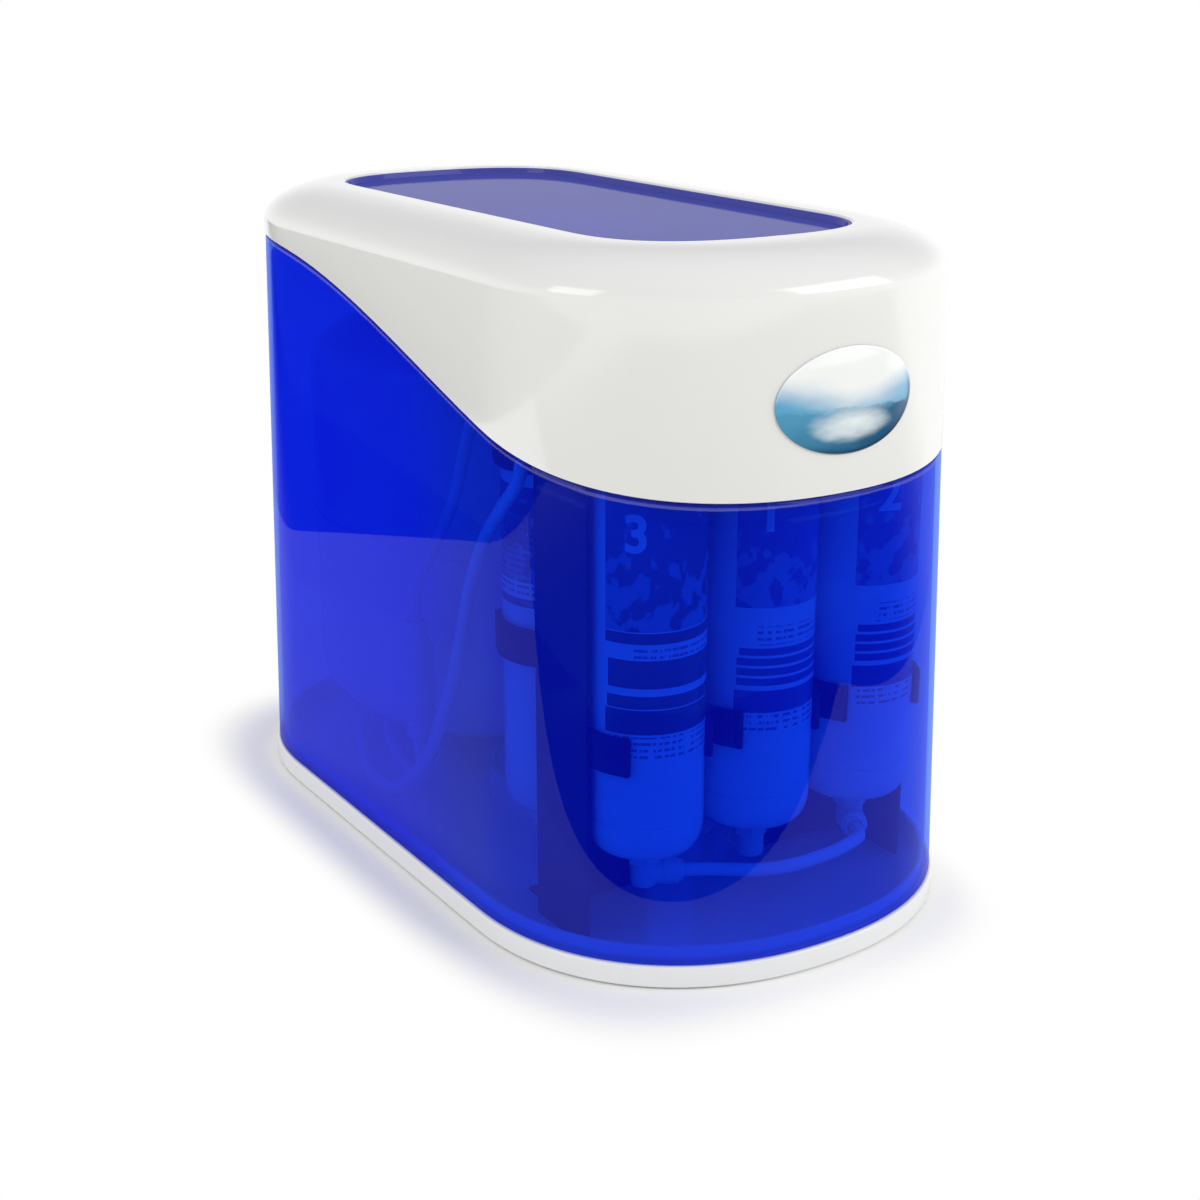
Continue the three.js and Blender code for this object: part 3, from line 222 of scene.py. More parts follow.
def badge_print():
    """Printed resin oval: a white sky over pale haze, blue water with a light patch, and a dark rim."""
    finish = Finish("badge_resin")
    x, _, z = finish.place()
    across = (x - BADGE_X * MM) / (BADGE_HALF * MM)
    up = (z - BADGE_Z * MM) / (BADGE_RISE * MM)
    wave = finish.noise(34.0, 2.0, (1.0, 0.3, 2.2))
    ripple = finish.noise(120.0, 3.0, (1.0, 0.3, 2.6))
    away = across * across + up * up
    haze = up + (wave - 0.5) * 0.6 - across * across * 0.55
    colour = finish.blend(haze.fade(-0.55, 0.35), rgb(0.13, 0.42, 0.68), rgb(0.97, 0.99, 1.0))
    water = (up + 0.14 + across * 0.05 + (ripple - 0.5) * 0.25).fade(-0.08, 0.05)
    depth = up * -0.6 + across * 0.45 + (wave - 0.5) * 0.6
    sea = finish.blend(depth.fade(-0.3, 0.7), rgb(0.09, 0.34, 0.56), rgb(0.015, 0.10, 0.22))
    beside, below = across - 0.02, up + 0.42
    patch = beside * beside / 0.30 + below * below / 0.09 + (wave - 0.5) * 1.2 + (ripple - 0.5) * 0.8
    sea = finish.blend(1 - patch.fade(-0.4, 1.6), sea, rgb(0.86, 0.94, 0.97))
    colour = finish.blend(water, sea, colour)
    shade = (across * 0.6 - up * 0.8).fade(0.1, 0.9) * away.fade(0.80, 0.96)
    colour = finish.blend(shade * 0.9, colour, rgb(0.015, 0.04, 0.09))
    shader = finish.principled(
        Base_Color=colour,
        Roughness=wave * 0.05 + 0.06,
        Coat_Weight=1.0,
        Coat_Roughness=0.02,
        Normal=finish.bump(finish.noise(400.0), 0.00001),
    )
    return finish.show(shader)


def label_print(name, centre, start, field, deep, bars, lines):
    """A printed film round a filter: rippled field above, then bars, blocks and rows of fine print.

    It is laid out for a film of FILM_SPAN degrees from a start angle. Bars and lines are (low, high,
    inset) in millimetres. Lines are broken into short dashes that stand for small print.
    """
    finish = Finish(name)
    coordinates = finish.node("TexCoord", {}, output=3)
    middle = (centre[0] * MM, centre[1] * MM, 0.0)
    centred = finish.node("VectorMath", {"operation": "SUBTRACT"}, coordinates, middle)
    facing = finish.node("Mapping", {}, centred, Rotation=(0.0, 0.0, -math.radians(start + FILM_SPAN / 2)))
    split = finish.node("SeparateXYZ", {}, facing).socket.node
    ahead, side, up = [Value(finish, out) for out in split.outputs]
    edge = side.math("ARCTAN2", side, ahead) * (27.15 * MM) + FILM_HALF * MM
    cloud = finish.noise(16.0, 3.0)
    swirl = finish.noise(120.0, 4.0, (1.0, 1.0, 0.8))
    lower = (up - FIELD_LOW * MM) / (FIELD_HEIGHT * MM)
    sheen = cloud * 0.7 + lower * 0.6
    colour = finish.blend(sheen.fade(0.2, 0.9), field, deep)
    foam = (swirl * 3.0 - 1.2 - lower * 1.1).fade(0.0, 0.16)
    colour = finish.blend(foam * 0.6, colour, rgb(0.34, 0.58, 0.74))
    colour = finish.blend(up < FIELD_LOW * MM, colour, rgb(0.86, 0.88, 0.88))

    def inside(low, high, inset):
        return up.band(low * MM, high * MM) * edge.band(inset * MM, (2 * FILM_HALF - inset) * MM)

    for bar in bars:
        colour = finish.blend(inside(*bar), colour, field)
    words = finish.noise(620.0, 1.0, (1.0, 1.0, 0.12)) > 0.47
    rows = up.math("MODULO", up, 3.1 * MM) < 1.3 * MM
    for line in lines:
        colour = finish.blend(inside(*line) * rows * words * 0.8, colour, rgb(0.08, 0.12, 0.2))
    shader = finish.principled(
        Base_Color=colour,
        Roughness=cloud * 0.08 + 0.24,
        Normal=finish.bump(finish.noise(500.0), 0.00001),
    )
    return finish.show(shader)


for imported in list(bpy.data.materials):
    bpy.data.materials.remove(imported)

moulded("white_gloss", rgb(0.87, 0.875, 0.87), 0.13, coat=0.5)
clear_blue("blue_clear", 0.17, seam=True)
clear_blue("window_blue", 0.7, (0.095, 0.105, 0.48), (0.105, 0.115, 0.52))
badge_print()
moulded("foot_rubber", rgb(0.05, 0.05, 0.05), 0.75, grain=0.0001)
moulded("dark_sheet", rgb(0.012, 0.014, 0.02), 0.42, grain=0.00006)
moulded("screw_steel", rgb(0.6, 0.61, 0.62), 0.3, metal=1.0)
moulded("dark_plastic", rgb(0.014, 0.015, 0.025), 0.45)
moulded("filter_white", rgb(0.88, 0.89, 0.89), 0.25)
moulded("fitting_white", rgb(0.82, 0.83, 0.84), 0.35)
moulded("tank_enamel", rgb(0.86, 0.90, 0.97), 0.2, coat=0.5)
moulded("lever_blue", rgb(0.02, 0.12, 0.5), 0.3)
moulded("tube_white", rgb(0.88, 0.89, 0.9), 0.3)
moulded("figure_white", rgb(0.84, 0.9, 0.92), 0.3)

for entry in frame["record"]["subparts"]:
    node = frame["nodes"][entry["node"]]
    node.data.materials.clear()
    node.data.materials.append(bpy.data.materials[entry["material_slot"]])


# ---- shaping by hand


def only(piece):
    """Selects this piece alone for the operators that follow."""
    bpy.ops.object.select_all(action="DESELECT")
    piece.select_set(True)
    bpy.context.view_layer.objects.active = piece
    return piece


def new_piece(name):
    """Names what a primitive has just added and settles its place in its mesh."""
    piece = only(bpy.context.object)
    piece.name = piece.data.name = name
    bpy.ops.object.transform_apply()
    return piece


def added(name, data):
    """Puts an object with this data into the scene."""
    thing = bpy.data.objects.new(name, data)
    bpy.context.scene.collection.objects.link(thing)
    return thing


def edit(on=True):
    """Starts editing with the whole mesh selected, or ends it."""
    bpy.ops.object.mode_set(mode="EDIT" if on else "OBJECT")
    if on:
        bpy.ops.mesh.select_all(action="SELECT")


def pick(piece, chosen, kind="verts"):
    """In edit mode: selects the vertices or edges that a test on them chooses."""
    bpy.ops.mesh.select_mode(type={"verts": "VERT", "edges": "EDGE"}[kind])
    bpy.ops.mesh.select_all(action="DESELECT")
    mesh = bmesh.from_edit_mesh(piece.data)
    for part in getattr(mesh, kind):
        if chosen(part):
            part.select_set(True)
    mesh.select_flush_mode()
    bmesh.update_edit_mesh(piece.data)


def tidy_skin(piece):
    """Closes doubled points and turns the faces outwards."""
    only(piece)
    edit()
    bpy.ops.mesh.remove_doubles(threshold=0.001)
    bpy.ops.mesh.normals_make_consistent(inside=False)
    edit(False)
    return piece


def turned(name, profile, sides=40):
    """A ring is drawn up along a profile of (radius, height); a radius of 0 closes it in a point."""
    drawn = profile[1:] if profile[0][0] == 0 else profile
    radius, height = drawn[0]
    bpy.ops.mesh.primitive_circle_add(vertices=sides, radius=radius, location=(0, 0, height))
    piece = new_piece(name)
    edit()
    if profile[0][0] == 0:
        bpy.ops.mesh.extrude_region_move(TRANSFORM_OT_translate={"value": (0, 0, profile[0][1] - height)})
        bpy.ops.mesh.merge(type="CENTER")
        pick(piece, lambda vert: math.hypot(vert.co.x, vert.co.y) > radius / 2)
    for wide, high in drawn[1:]:
        bpy.ops.mesh.extrude_region_move(TRANSFORM_OT_translate={"value": (0, 0, high - height)})
        if wide == 0:
            bpy.ops.mesh.merge(type="CENTER")
        elif wide != radius:
            share = wide / radius
            bpy.ops.transform.resize(value=(share, share, 1), center_override=(0, 0, high))
        radius, height = wide, high
    edit(False)
    return tidy_skin(piece)


def skinned(name, rings, closed=True):
    """A ring is drawn out again and again and laid each time on the next of rings of equal count."""
    bpy.ops.mesh.primitive_circle_add(vertices=len(rings[0]), radius=1)
    piece = new_piece(name)
    edit()
    mesh = bmesh.from_edit_mesh(piece.data)
    count = mesh.verts.layers.int.new("count")
    mesh.verts.ensure_lookup_table()
    for index, vert in enumerate(mesh.verts):
        vert[count] = index
    for row, ring in enumerate(rings):
        if row:
            bpy.ops.mesh.extrude_region_move()
        elif closed:
            bpy.ops.mesh.edge_face_add()
        mesh = bmesh.from_edit_mesh(piece.data)
        count = mesh.verts.layers.int["count"]
        for vert in mesh.verts:
            if vert.select:
                vert.co = ring[vert[count]]
        bmesh.update_edit_mesh(piece.data)
        if row == 0 and closed:
            pick(piece, lambda edge: True, "edges")
    if closed:
        bpy.ops.mesh.edge_face_add()
    edit(False)
    return tidy_skin(piece)


def spun(name, reach, width, low, high, steps, sweep):
    """An upright rectangle whose middle is at a distance from Z is spun round it, clockwise from above."""
    bpy.ops.mesh.primitive_plane_add(size=1, location=(reach, 0, (low + high) / 2),
                                     rotation=(math.radians(90), 0, 0))
    bpy.context.object.scale = (width, high - low, 1)
    piece = new_piece(name)
    edit()
    bpy.ops.mesh.spin(steps=steps, angle=-math.radians(sweep), center=(0, 0, 0), axis=(0, 0, 1))
    edit(False)
    return tidy_skin(piece)


def block(name, low, high, rounding=0.0, segments=2, chosen=lambda edge: True):
    """A box between two corners, with its chosen edges rounded."""
    size = [b - a for a, b in zip(low, high)]
    middle = [(a + b) / 2 for a, b in zip(low, high)]
    bpy.ops.mesh.primitive_cube_add(size=1, location=middle, scale=size)
    piece = new_piece(name)
    if rounding:
        edit()
        pick(piece, chosen, "edges")
        bpy.ops.mesh.bevel(offset=rounding, segments=segments, profile=0.5)
        edit(False)
    return piece


def upper_lengthwise(edge):
    """A test for edges that run along Y above the floor."""
    way = edge.verts[1].co - edge.verts[0].co
    return abs(way.y) > 0.5 * way.length and edge.verts[0].co.z > 0


def placed(piece, place=(0, 0, 0), turn=(0, 0, 0)):
    """Turns a piece by degrees about X, Y and Z, then moves it, in its mesh."""
    only(piece)
    piece.rotation_euler = [math.radians(angle) for angle in turn]
    piece.location = place
    bpy.ops.object.transform_apply()
    return piece


def copied(piece, name, place=(0, 0, 0), turn=(0, 0, 0)):
    only(piece)
    bpy.ops.object.duplicate(linked=False)
    twin = bpy.context.object
    twin.name = twin.data.name = name
    return placed(twin, place, turn)


def used_up(*pieces):
    for piece in pieces:
        bpy.data.objects.remove(piece)


def cut(piece, *others, operation="DIFFERENCE"):
    """Cuts other shapes from a piece, or welds them to it, and uses them up."""
    for other in others:
        only(piece)
        change = piece.modifiers.new("change", "BOOLEAN")
        change.operation, change.solver, change.object = operation, "EXACT", other
        bpy.ops.object.modifier_apply(modifier=change.name)
        used_up(other)
    return piece


def welded(piece, *others):
    return cut(piece, *others, operation="UNION")


def rounded(piece, width, angle):
    """Rounds every edge sharper than an angle."""
    only(piece)
    bevel = piece.modifiers.new("edges", "BEVEL")
    bevel.width, bevel.segments, bevel.limit_method = width, 2, "ANGLE"
    bevel.angle_limit = math.radians(angle)
    bpy.ops.object.modifier_apply(modifier=bevel.name)
    return piece


def done(piece, finish, *nodes, body="root", slot=None, smooth=38):
    """Brings a piece to metres, gives it a finish by name, puts it under its body and hides the nodes it
    stands for.
    """
    only(piece)
    piece.scale = (MM, MM, MM)
    bpy.ops.object.transform_apply()
    bpy.ops.object.shade_smooth_by_angle(angle=math.radians(smooth))
    piece.data.materials.clear()
    piece.data.materials.append(bpy.data.materials[finish])
    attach(piece, body)
    if nodes:
        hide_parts(*nodes)
    slot or finish


# ---- housing

# A plan has a half width, the depth of its rounded ends, half a flank, and its roundness
HALF, END, FLANK, POWER = 120, 113.5, 102.799, 2.19
WINDOW_HALF, WINDOW_END, WINDOW_FLANK, WINDOW_POWER = 68.496, 59.797, 101.799, 2.65
DRAFT, BAND_TOP, SHELL_FOOT = 0.025, 11.2, 11.5
CAP_TOP, CROWN_REACH, CROWN_RISE = 325.6, 38, 19
SIDE_STEPS, END_STEPS = 12, 60
GAP = 0.3
BAY_HALF, BAY_TOP, BAY_ROUNDING, PAST_BACK = 47, 47, 6, 237.5  # the ports' opening in shell and tray


def plan_point(count, half, depth, flank, power):
    """One point of a plan with straight flanks and rounded ends, counted once round."""
    row = SIDE_STEPS + END_STEPS
    back = -1 if count >= row else 1
    step = count % row
    if step < SIDE_STEPS:
        return back * half, back * flank * (2 * step / SIDE_STEPS - 1)
    angle = math.pi * (step - SIDE_STEPS) / END_STEPS
    across = math.copysign(abs(math.cos(angle)) ** (2 / power), math.cos(angle))
    return back * half * across, back * (flank + depth * math.sin(angle) ** (2 / power))


def wall_point(count, z, inset):
    lean = DRAFT * (z - BAND_TOP) + inset
    return (*plan_point(count, HALF - lean, END - lean, FLANK, POWER), z)


ROUND = range(2 * (SIDE_STEPS + END_STEPS))


def wall_ring(z, inset):
    return [wall_point(count, z, inset) for count in ROUND]


def tray_ring(inset, z):
    """A ring of the tray, whose walls stand upright."""
    return [(*wall_point(count, BAND_TOP, inset)[:2], z) for count in ROUND]


def edge_height(y):
    """Lower edge of the cap: level in front, then an S shaped rise to the back."""
    share = min(max((y - EDGE_FRONT) / EDGE_RUN, 0), 1)
    return EDGE_LOW + EDGE_RISE * (1 - math.cos(math.pi * share)) / 2


def edge_ring(inset, rise):
    """A ring of the wall that follows the edge of the cap."""
    heights = [edge_height(wall_point(count, EDGE_LOW, 0)[1]) + rise for count in ROUND]
    return [wall_point(count, heights[count], inset) for count in ROUND]


def crown_ring(share, wall=0.0):
    """A ring of the crown's rounding, from the wall (0) to the flat top (1)."""
    turn = share * math.pi / 2
    z = CAP_TOP - CROWN_RISE + (CROWN_RISE - wall) * math.sin(turn)
    return wall_ring(z, wall - 0.5 + (CROWN_REACH - wall) * (1 - math.cos(turn)))


def window_ring(inset, z):
    sizes = WINDOW_HALF - inset, WINDOW_END - inset, WINDOW_FLANK, WINDOW_POWER
    return [(*plan_point(count, *sizes), z) for count in ROUND]


def shares(steps):
    return [step / steps for step in range(steps + 1)]


def quarter(steps):
    """Sine and cosine at even steps over a quarter turn."""
    turns = [share * math.pi / 2 for share in shares(steps)]
    return [(math.sin(turn), math.cos(turn)) for turn in turns]


def make_shell():
    shoulder = [edge_ring(1.5 * (1 - c), -GAP - 3.5 * (1 - s)) for s, c in quarter(8)]
    shell = skinned("housing_shell", [
        wall_ring(SHELL_FOOT, 0.5), wall_ring(SHELL_FOOT + 0.5, 0), *shoulder,
        edge_ring(2.1, -GAP), edge_ring(2.1, 5.6), edge_ring(2.5, 6), edge_ring(3.6, 6), edge_ring(4, 5.6),
        edge_ring(4, -8.4), edge_ring(3.6, -9.4), edge_ring(2.5, -11.5),
        wall_ring(SHELL_FOOT + 0.5, 2.5), wall_ring(SHELL_FOOT, 2.1), wall_ring(SHELL_FOOT, 0.5),
    ], closed=False)
    notch = block("notch", (-BAY_HALF, 159.5, -20), (BAY_HALF, PAST_BACK, BAY_TOP - GAP), BAY_ROUNDING, 6,
                  upper_lengthwise)
    done(cut(shell, notch), "blue_clear", "shell", body="housing")


def make_cap():
    lower = [edge_ring(0.1 - 0.6 * s, 0.6 - 0.6 * c) for s, c in quarter(3)]
    lip = [window_ring(-0.8 * c, CAP_TOP - 0.8 * s) for s, c in quarter(3)]
    inner = [crown_ring(share, 2.3) for share in reversed(shares(8))]
    first = edge_ring(1.8, 0)
    cap = skinned("cap_hood", [
        first, *lower, *[crown_ring(share) for share in shares(16)], *lip,
        window_ring(0, 319.0), window_ring(3.5, 319.0), window_ring(3.5, 316.8), window_ring(-2.2, 316.8),
        window_ring(-2.2, CAP_TOP - 2.3), *inner, first,
    ], closed=False)
    done(cap, "white_gloss", "cap", body="housing", smooth=30)


def make_window():
    window = skinned("cap_window", [
        window_ring(inset, z) for inset, z in (
            (5, 319.3), (0.9, 319.3), (GAP, 319.9), (GAP, 324.3), (0.5, 324.7), (0.9, 324.8), (1.4, 324.6),
            (1.6, 324.2), (1.8, 322.4), (2.1, 321.9), (2.7, 321.7), (6, 321.7))
    ])
    done(window, "window_blue", "window_panel", body="housing", slot="blue_clear")


def cap_front(x, z):
    """Place of the cap's front across it and at a height."""
    lean = DRAFT * (z - BAND_TOP) - 0.5
    return FLANK + (END - lean) * (1 - (abs(x) / (HALF - lean)) ** POWER) ** (1 / POWER)


def make_badge():
    def oval(share, lift):
        ring = []
        for count in range(96):
            angle = 2 * math.pi * count / 96
            x = BADGE_X + BADGE_HALF * share * math.cos(angle)
            z = BADGE_Z + BADGE_RISE * share * math.sin(angle)
            ring.append((x, -cap_front(x, z) - GAP - lift, z))
        return ring

    back = [oval(share, 0) for share in (0.12, 0.4, 0.7, 0.97)]
    rim = [oval(share, lift) for share, lift in ((1, 0.08), (1, 0.45), (0.992, 0.6), (0.972, 0.68))]
    dome = [oval(share, 0.6 + 1.1 * (1 - share ** 2)) for share in (0.955, 0.9, 0.8, 0.65, 0.45, 0.25, 0.1)]
    done(skinned("oval_badge", [*back, *rim, *dome]), "badge_resin", "badge", body="housing")


make_shell()
make_cap()
make_window()
make_badge()


# ---- tray and feet

PORT_XS = {"feed": 30, "drain": 0, "product": -30}
PORT_WALL, PORT_Z = 191.499, 28
TANK_Y, TANK_RADIUS, DOME_Z, DOME_DEPTH = 91.999, 98, 62, 42
FOOT_X, FOOT_Y = 81.96, 128.049


def dome_under(radius):
    return DOME_Z - DOME_DEPTH * math.sqrt(1 - (radius / TANK_RADIUS) ** 2)


def make_tray():
    tray = skinned("base_tray_dressed", [
        tray_ring(7.1, 6.5), tray_ring(5.6, 7), tray_ring(5.1, 8.5), tray_ring(5.1, 18.8),
        tray_ring(4.7, 19.2), tray_ring(3.3, 19.2), tray_ring(2.9, 18.8), tray_ring(2.9, BAND_TOP),
        *[tray_ring(-0.2 - s, BAND_TOP - 1 + c) for s, c in quarter(4)],
        *[tray_ring(-0.2 - c, 1.8 - s) for s, c in quarter(4)],
        tray_ring(3.3, 0.8), tray_ring(3.6, 1.1), tray_ring(3.6, 3.5),
    ])
    bay = block("bay", (-50, PORT_WALL - 3, 3.6), (50, 217.4, 50), 2, 2)
    inside = skinned("inside", [wall_ring(z, 2.9 + GAP) for z in (0, 67)])
    cut(bay, inside, operation="INTERSECT")
    seat = turned("seat", [(45.98, 4), (49.98, 4), (49.98, dome_under(49.98) - GAP),
                           (45.98, dome_under(45.98) - GAP), (45.98, 4)], 64)
    welded(tray, bay, seat)
    for count in range(8):
        gusset = block("gusset", (49, -1.1, 4), (57.5, 1.1, 15))
        edit()
        pick(gusset, lambda vert: vert.co.x > 55 and vert.co.z > 10)
        bpy.ops.transform.translate(value=(-6.5, 0, 0))
        edit(False)
        welded(tray, placed(gusset, (0, TANK_Y, 0), (0, 0, 45 * count + 22.5)))
    recess = block("recess", (-BAY_HALF, PORT_WALL, -8), (BAY_HALF, PAST_BACK, BAY_TOP), BAY_ROUNDING, 6,
                   upper_lengthwise)
    edit()
    pick(recess, lambda vert: vert.co.z < 0)
    bpy.ops.transform.translate(value=(0, 0, 8 + BAND_TOP))
    edit(False)
    cut(tray, recess)
    for x in PORT_XS.values():
        drill = turned("drill", [(0, -10), (8.6, -10), (8.6, 10), (0, 10)], 32)
        cut(tray, placed(drill, (x, PORT_WALL, PORT_Z), (90, 0, 0)))
    done(tray, "white_gloss", "base_tray", smooth=35)


make_tray()


def make_feet():
    outline = [(0, 0.9), (4, 0.9), (4.6, 0), (9.2, 0), (9.8, 0.3), (10, 0.8), (10, 3.2), (0, 3.2)]
    foot = turned("foot", outline)
    for index, (side, end) in enumerate(((-1, -1), (1, -1), (1, 1), (-1, 1)), 1):
        name = f"foot_{index}"
        done(copied(foot, f"rubber_{name}", (side * FOOT_X, end * FOOT_Y, 0)), "foot_rubber", name)
    used_up(foot)


make_feet()


# ---- screws and clips

ROW_Y, SPACING = -155.001, 61  # the three filters in front of the bracket
POST_Y, POST_X, MEMBRANE_X = -78.801, -60, 60  # the two vessels behind it
WEB_BACK, RAIL_FRONT = -110.401, -115.301
RAILS = (("low", 106.012, 130), ("high", 252.056, 108))  # name, height, half the grip in degrees
CLIP_RADIUS, CLIP_HALF = 28.7, 9


def cross_head(name, radius, height, shank=0.0):
    """A pan head screw with a cross recess, standing on its seat at 0."""
    core = [(0, -shank), (2, -shank), (2, 0)] if shank else [(0, 0)]
    head = turned(name, [*core, (radius, 0), (radius, height * 0.45), (radius * 0.86, height * 0.75),
                         (radius * 0.6, height * 0.94), (0, height)], 32)
    slots = [block("slot", (-radius * 0.55, -0.4, height * 0.5), (radius * 0.55, 0.4, height * 2))]
    slots.append(copied(slots[0], "slot_across", turn=(0, 0, 90)))
    return cut(head, *slots)


def make_screws():
    screw = cross_head("bracket_screw", 4, 2.4, shank=5.2)
    for side, name in ((-1, "left"), (1, "right")):
        twin = copied(screw, f"tab_screw_{name}", (side * 65, WEB_BACK + 10, 8.7))
        done(twin, "screw_steel", f"bracket_screw_{name}")
    used_up(screw)
    rivet = cross_head("rivet", 3.2, 1.6)
    for level, z, _ in RAILS:
        for side, name in ((-1, "left"), (1, "right")):
            place = (side * SPACING / 2, RAIL_FRONT, z)
            done(copied(rivet, f"rail_screw_{level}_{name}", place, (90, 0, 0)), "screw_steel")
    used_up(rivet)


def clip_ring(name, grip):
    """A springy C round a filter, open in front."""
    ring = spun(name, CLIP_RADIUS, 2.8, -CLIP_HALF, CLIP_HALF, 40, 2 * grip)
    placed(ring, turn=(0, 0, 90 - grip))
    rounded(ring, 0.6, 50)
    for side in (-1, 1):
        angle = math.radians(90 + side * grip)
        lip = turned("lip", [(0, -9), (1.5, -9), (2, -8.5), (2, 8.5), (1.5, 9), (0, 9)], 20)
        welded(ring, placed(lip, (28.9 * math.cos(angle), 28.9 * math.sin(angle), 0)))
    return ring


def make_clips():
    for level, z, grip in RAILS:
        low, high = (-84, RAIL_FRONT, z - CLIP_HALF), (84, RAIL_FRONT + 3, z + CLIP_HALF)
        rail = block(f"filter_rail_{level}", low, high, 0.8)
        ring = clip_ring("ring", grip)
        for x in (0, SPACING, -SPACING):
            pad = block("pad", (x - 11, ROW_Y + CLIP_RADIUS, z - 8.9), (x + 11, -112.6, z + 8.9), 0.7)
            welded(rail, pad, copied(ring, "ring_here", (x, ROW_Y, z)))
        used_up(ring)
        done(rail, "dark_plastic", f"clip_rail_{level}")
    ring = clip_ring("ring", 130)
    for owner, x in (("post", POST_X), ("membrane", MEMBRANE_X)):
        for level, z in (("low", 133.16), ("high", 225.96)):
            clip = copied(ring, f"{owner}_holder_{level}", (x, POST_Y, z), (0, 0, 180))
            pad = block("pad", (x - 11, WEB_BACK + GAP, z - 8.9), (x + 11, POST_Y - 28, z + 8.9), 0.7)
            done(welded(clip, pad), "dark_plastic", f"{owner}_clip_{level}")
    used_up(ring)


make_screws()
make_clips()


# ---- filters and their labels

FILTER_LENGTH, FILTER_RADIUS, FILTER_FOOT = 232, 27, 53
CARTRIDGES = (  # digit, place across, start of its label in degrees
    ("3", -SPACING, -164), ("1", 0, -147), ("2", SPACING, -134),
)


def filter_body(name):
    """Inline filter: rounded ends, a welded seam near each and a threaded boss beyond."""
    half = [(8.2, -4), (9, -3.3), (9, -2.7), (8.4, -2.4), (8.4, -1.8), (9, -1.5), (9, 0)]
    half += [(19.5 + 7.5 * s, 13 * (1 - c)) for s, c in quarter(8)]
    half += [(FILTER_RADIUS, 17.4), (26.6, 17.7), (26.6, 18.5), (FILTER_RADIUS, 18.8)]
    return turned(name, [(0, -4), *half, *[(r, FILTER_LENGTH - h) for r, h in reversed(half)],
                         (0, FILTER_LENGTH + 4)], 72)


def film(name, low, high, start, span):
    """A thin printed film round a filter."""
    sleeve = spun(name, FILTER_RADIUS + 0.05, 0.2, low, high, 72, span)
    return placed(sleeve, turn=(0, 0, start))


def figure(name, text, size, centre, angle, z, radius):
    """A plain numeral, sliced into narrow strips and wrapped round a filter."""
    bpy.ops.object.text_add(location=(0, 0, 0))
    letter = bpy.context.object
    letter.data.body, letter.data.size, letter.data.extrude = text, size, 0.06
    letter.data.align_x, letter.data.align_y = "CENTER", "CENTER"
    letter.data.offset = 0.024 * size
    bpy.ops.object.convert(target="MESH")
    letter = new_piece(name)
    edit()
    for step in range(-8, 9):
        bpy.ops.mesh.select_all(action="SELECT")
        bpy.ops.mesh.bisect(plane_co=((step + 0.31) * size / 20, 0, 0), plane_no=(1, 0, 0))
    edit(False)
    tidy_skin(letter)
    for vert in letter.data.vertices:
        turn = math.radians(angle) + vert.co.x / radius
        reach = radius + vert.co.z
        vert.co = (centre[0] + reach * math.cos(turn), centre[1] + reach * math.sin(turn), z + vert.co.y)
    return letter


def make_filters():
    body = filter_body("filter")
    for digit, x, start in CARTRIDGES:
        done(copied(body, f"filter_{digit}", (x, ROW_Y, FILTER_FOOT)), "filter_white", f"cartridge_{digit}")
        sleeve = film(f"filter_label_{digit}", 104, FIELD_LOW + FIELD_HEIGHT, start, FILM_SPAN)
        if digit == "3":
            bars = ((158.4, 163.5, 0), (138, 151, 1.5), (128.5, 134.5, 1), (116.5, 128, 0))
            lines = ((152, 157.5, 14), (103.5, 115.5, 2))
            tints = rgb(0.008, 0.11, 0.13), rgb(0.02, 0.22, 0.40)
        else:
            bars = ((141.5, 145, 2), (136.7, 140.2, 1), (131.9, 135.4, 1), (127.1, 130.6, 1), (114, 124.7, 0))
            lines = ((146.5, 155.5, 10), (103.5, 113.5, 2))
            tints = rgb(0.03, 0.13, 0.32), rgb(0.06, 0.24, 0.62)
        ink = label_print(f"label_print_{digit}", (x, ROW_Y), start, *tints, bars, lines)
        done(placed(sleeve, (x, ROW_Y, 0)), ink.name, slot="filter_white")
        numeral = figure(f"filter_numeral_{digit}", digit, 23, (x, ROW_Y), start + 31, 207, 27.2)
        done(numeral, "figure_white", slot="filter_white")
    done(placed(body, (POST_X, POST_Y, 45)), "filter_white", "post_filter")
    sleeve = film("post_filter_label", 150, 210, 20, 200)
    ink = label_print("label_print_post", (POST_X, POST_Y), -5, rgb(0.02, 0.12, 0.28), rgb(0.03, 0.2, 0.42),
                      ((204, 209, 0), (196, 202, 1), (152, 156, 0)), ((158, 194, 3),))
    done(placed(sleeve, (POST_X, POST_Y, 0)), ink.name, slot="filter_white")


make_filters()


# ---- membrane vessel


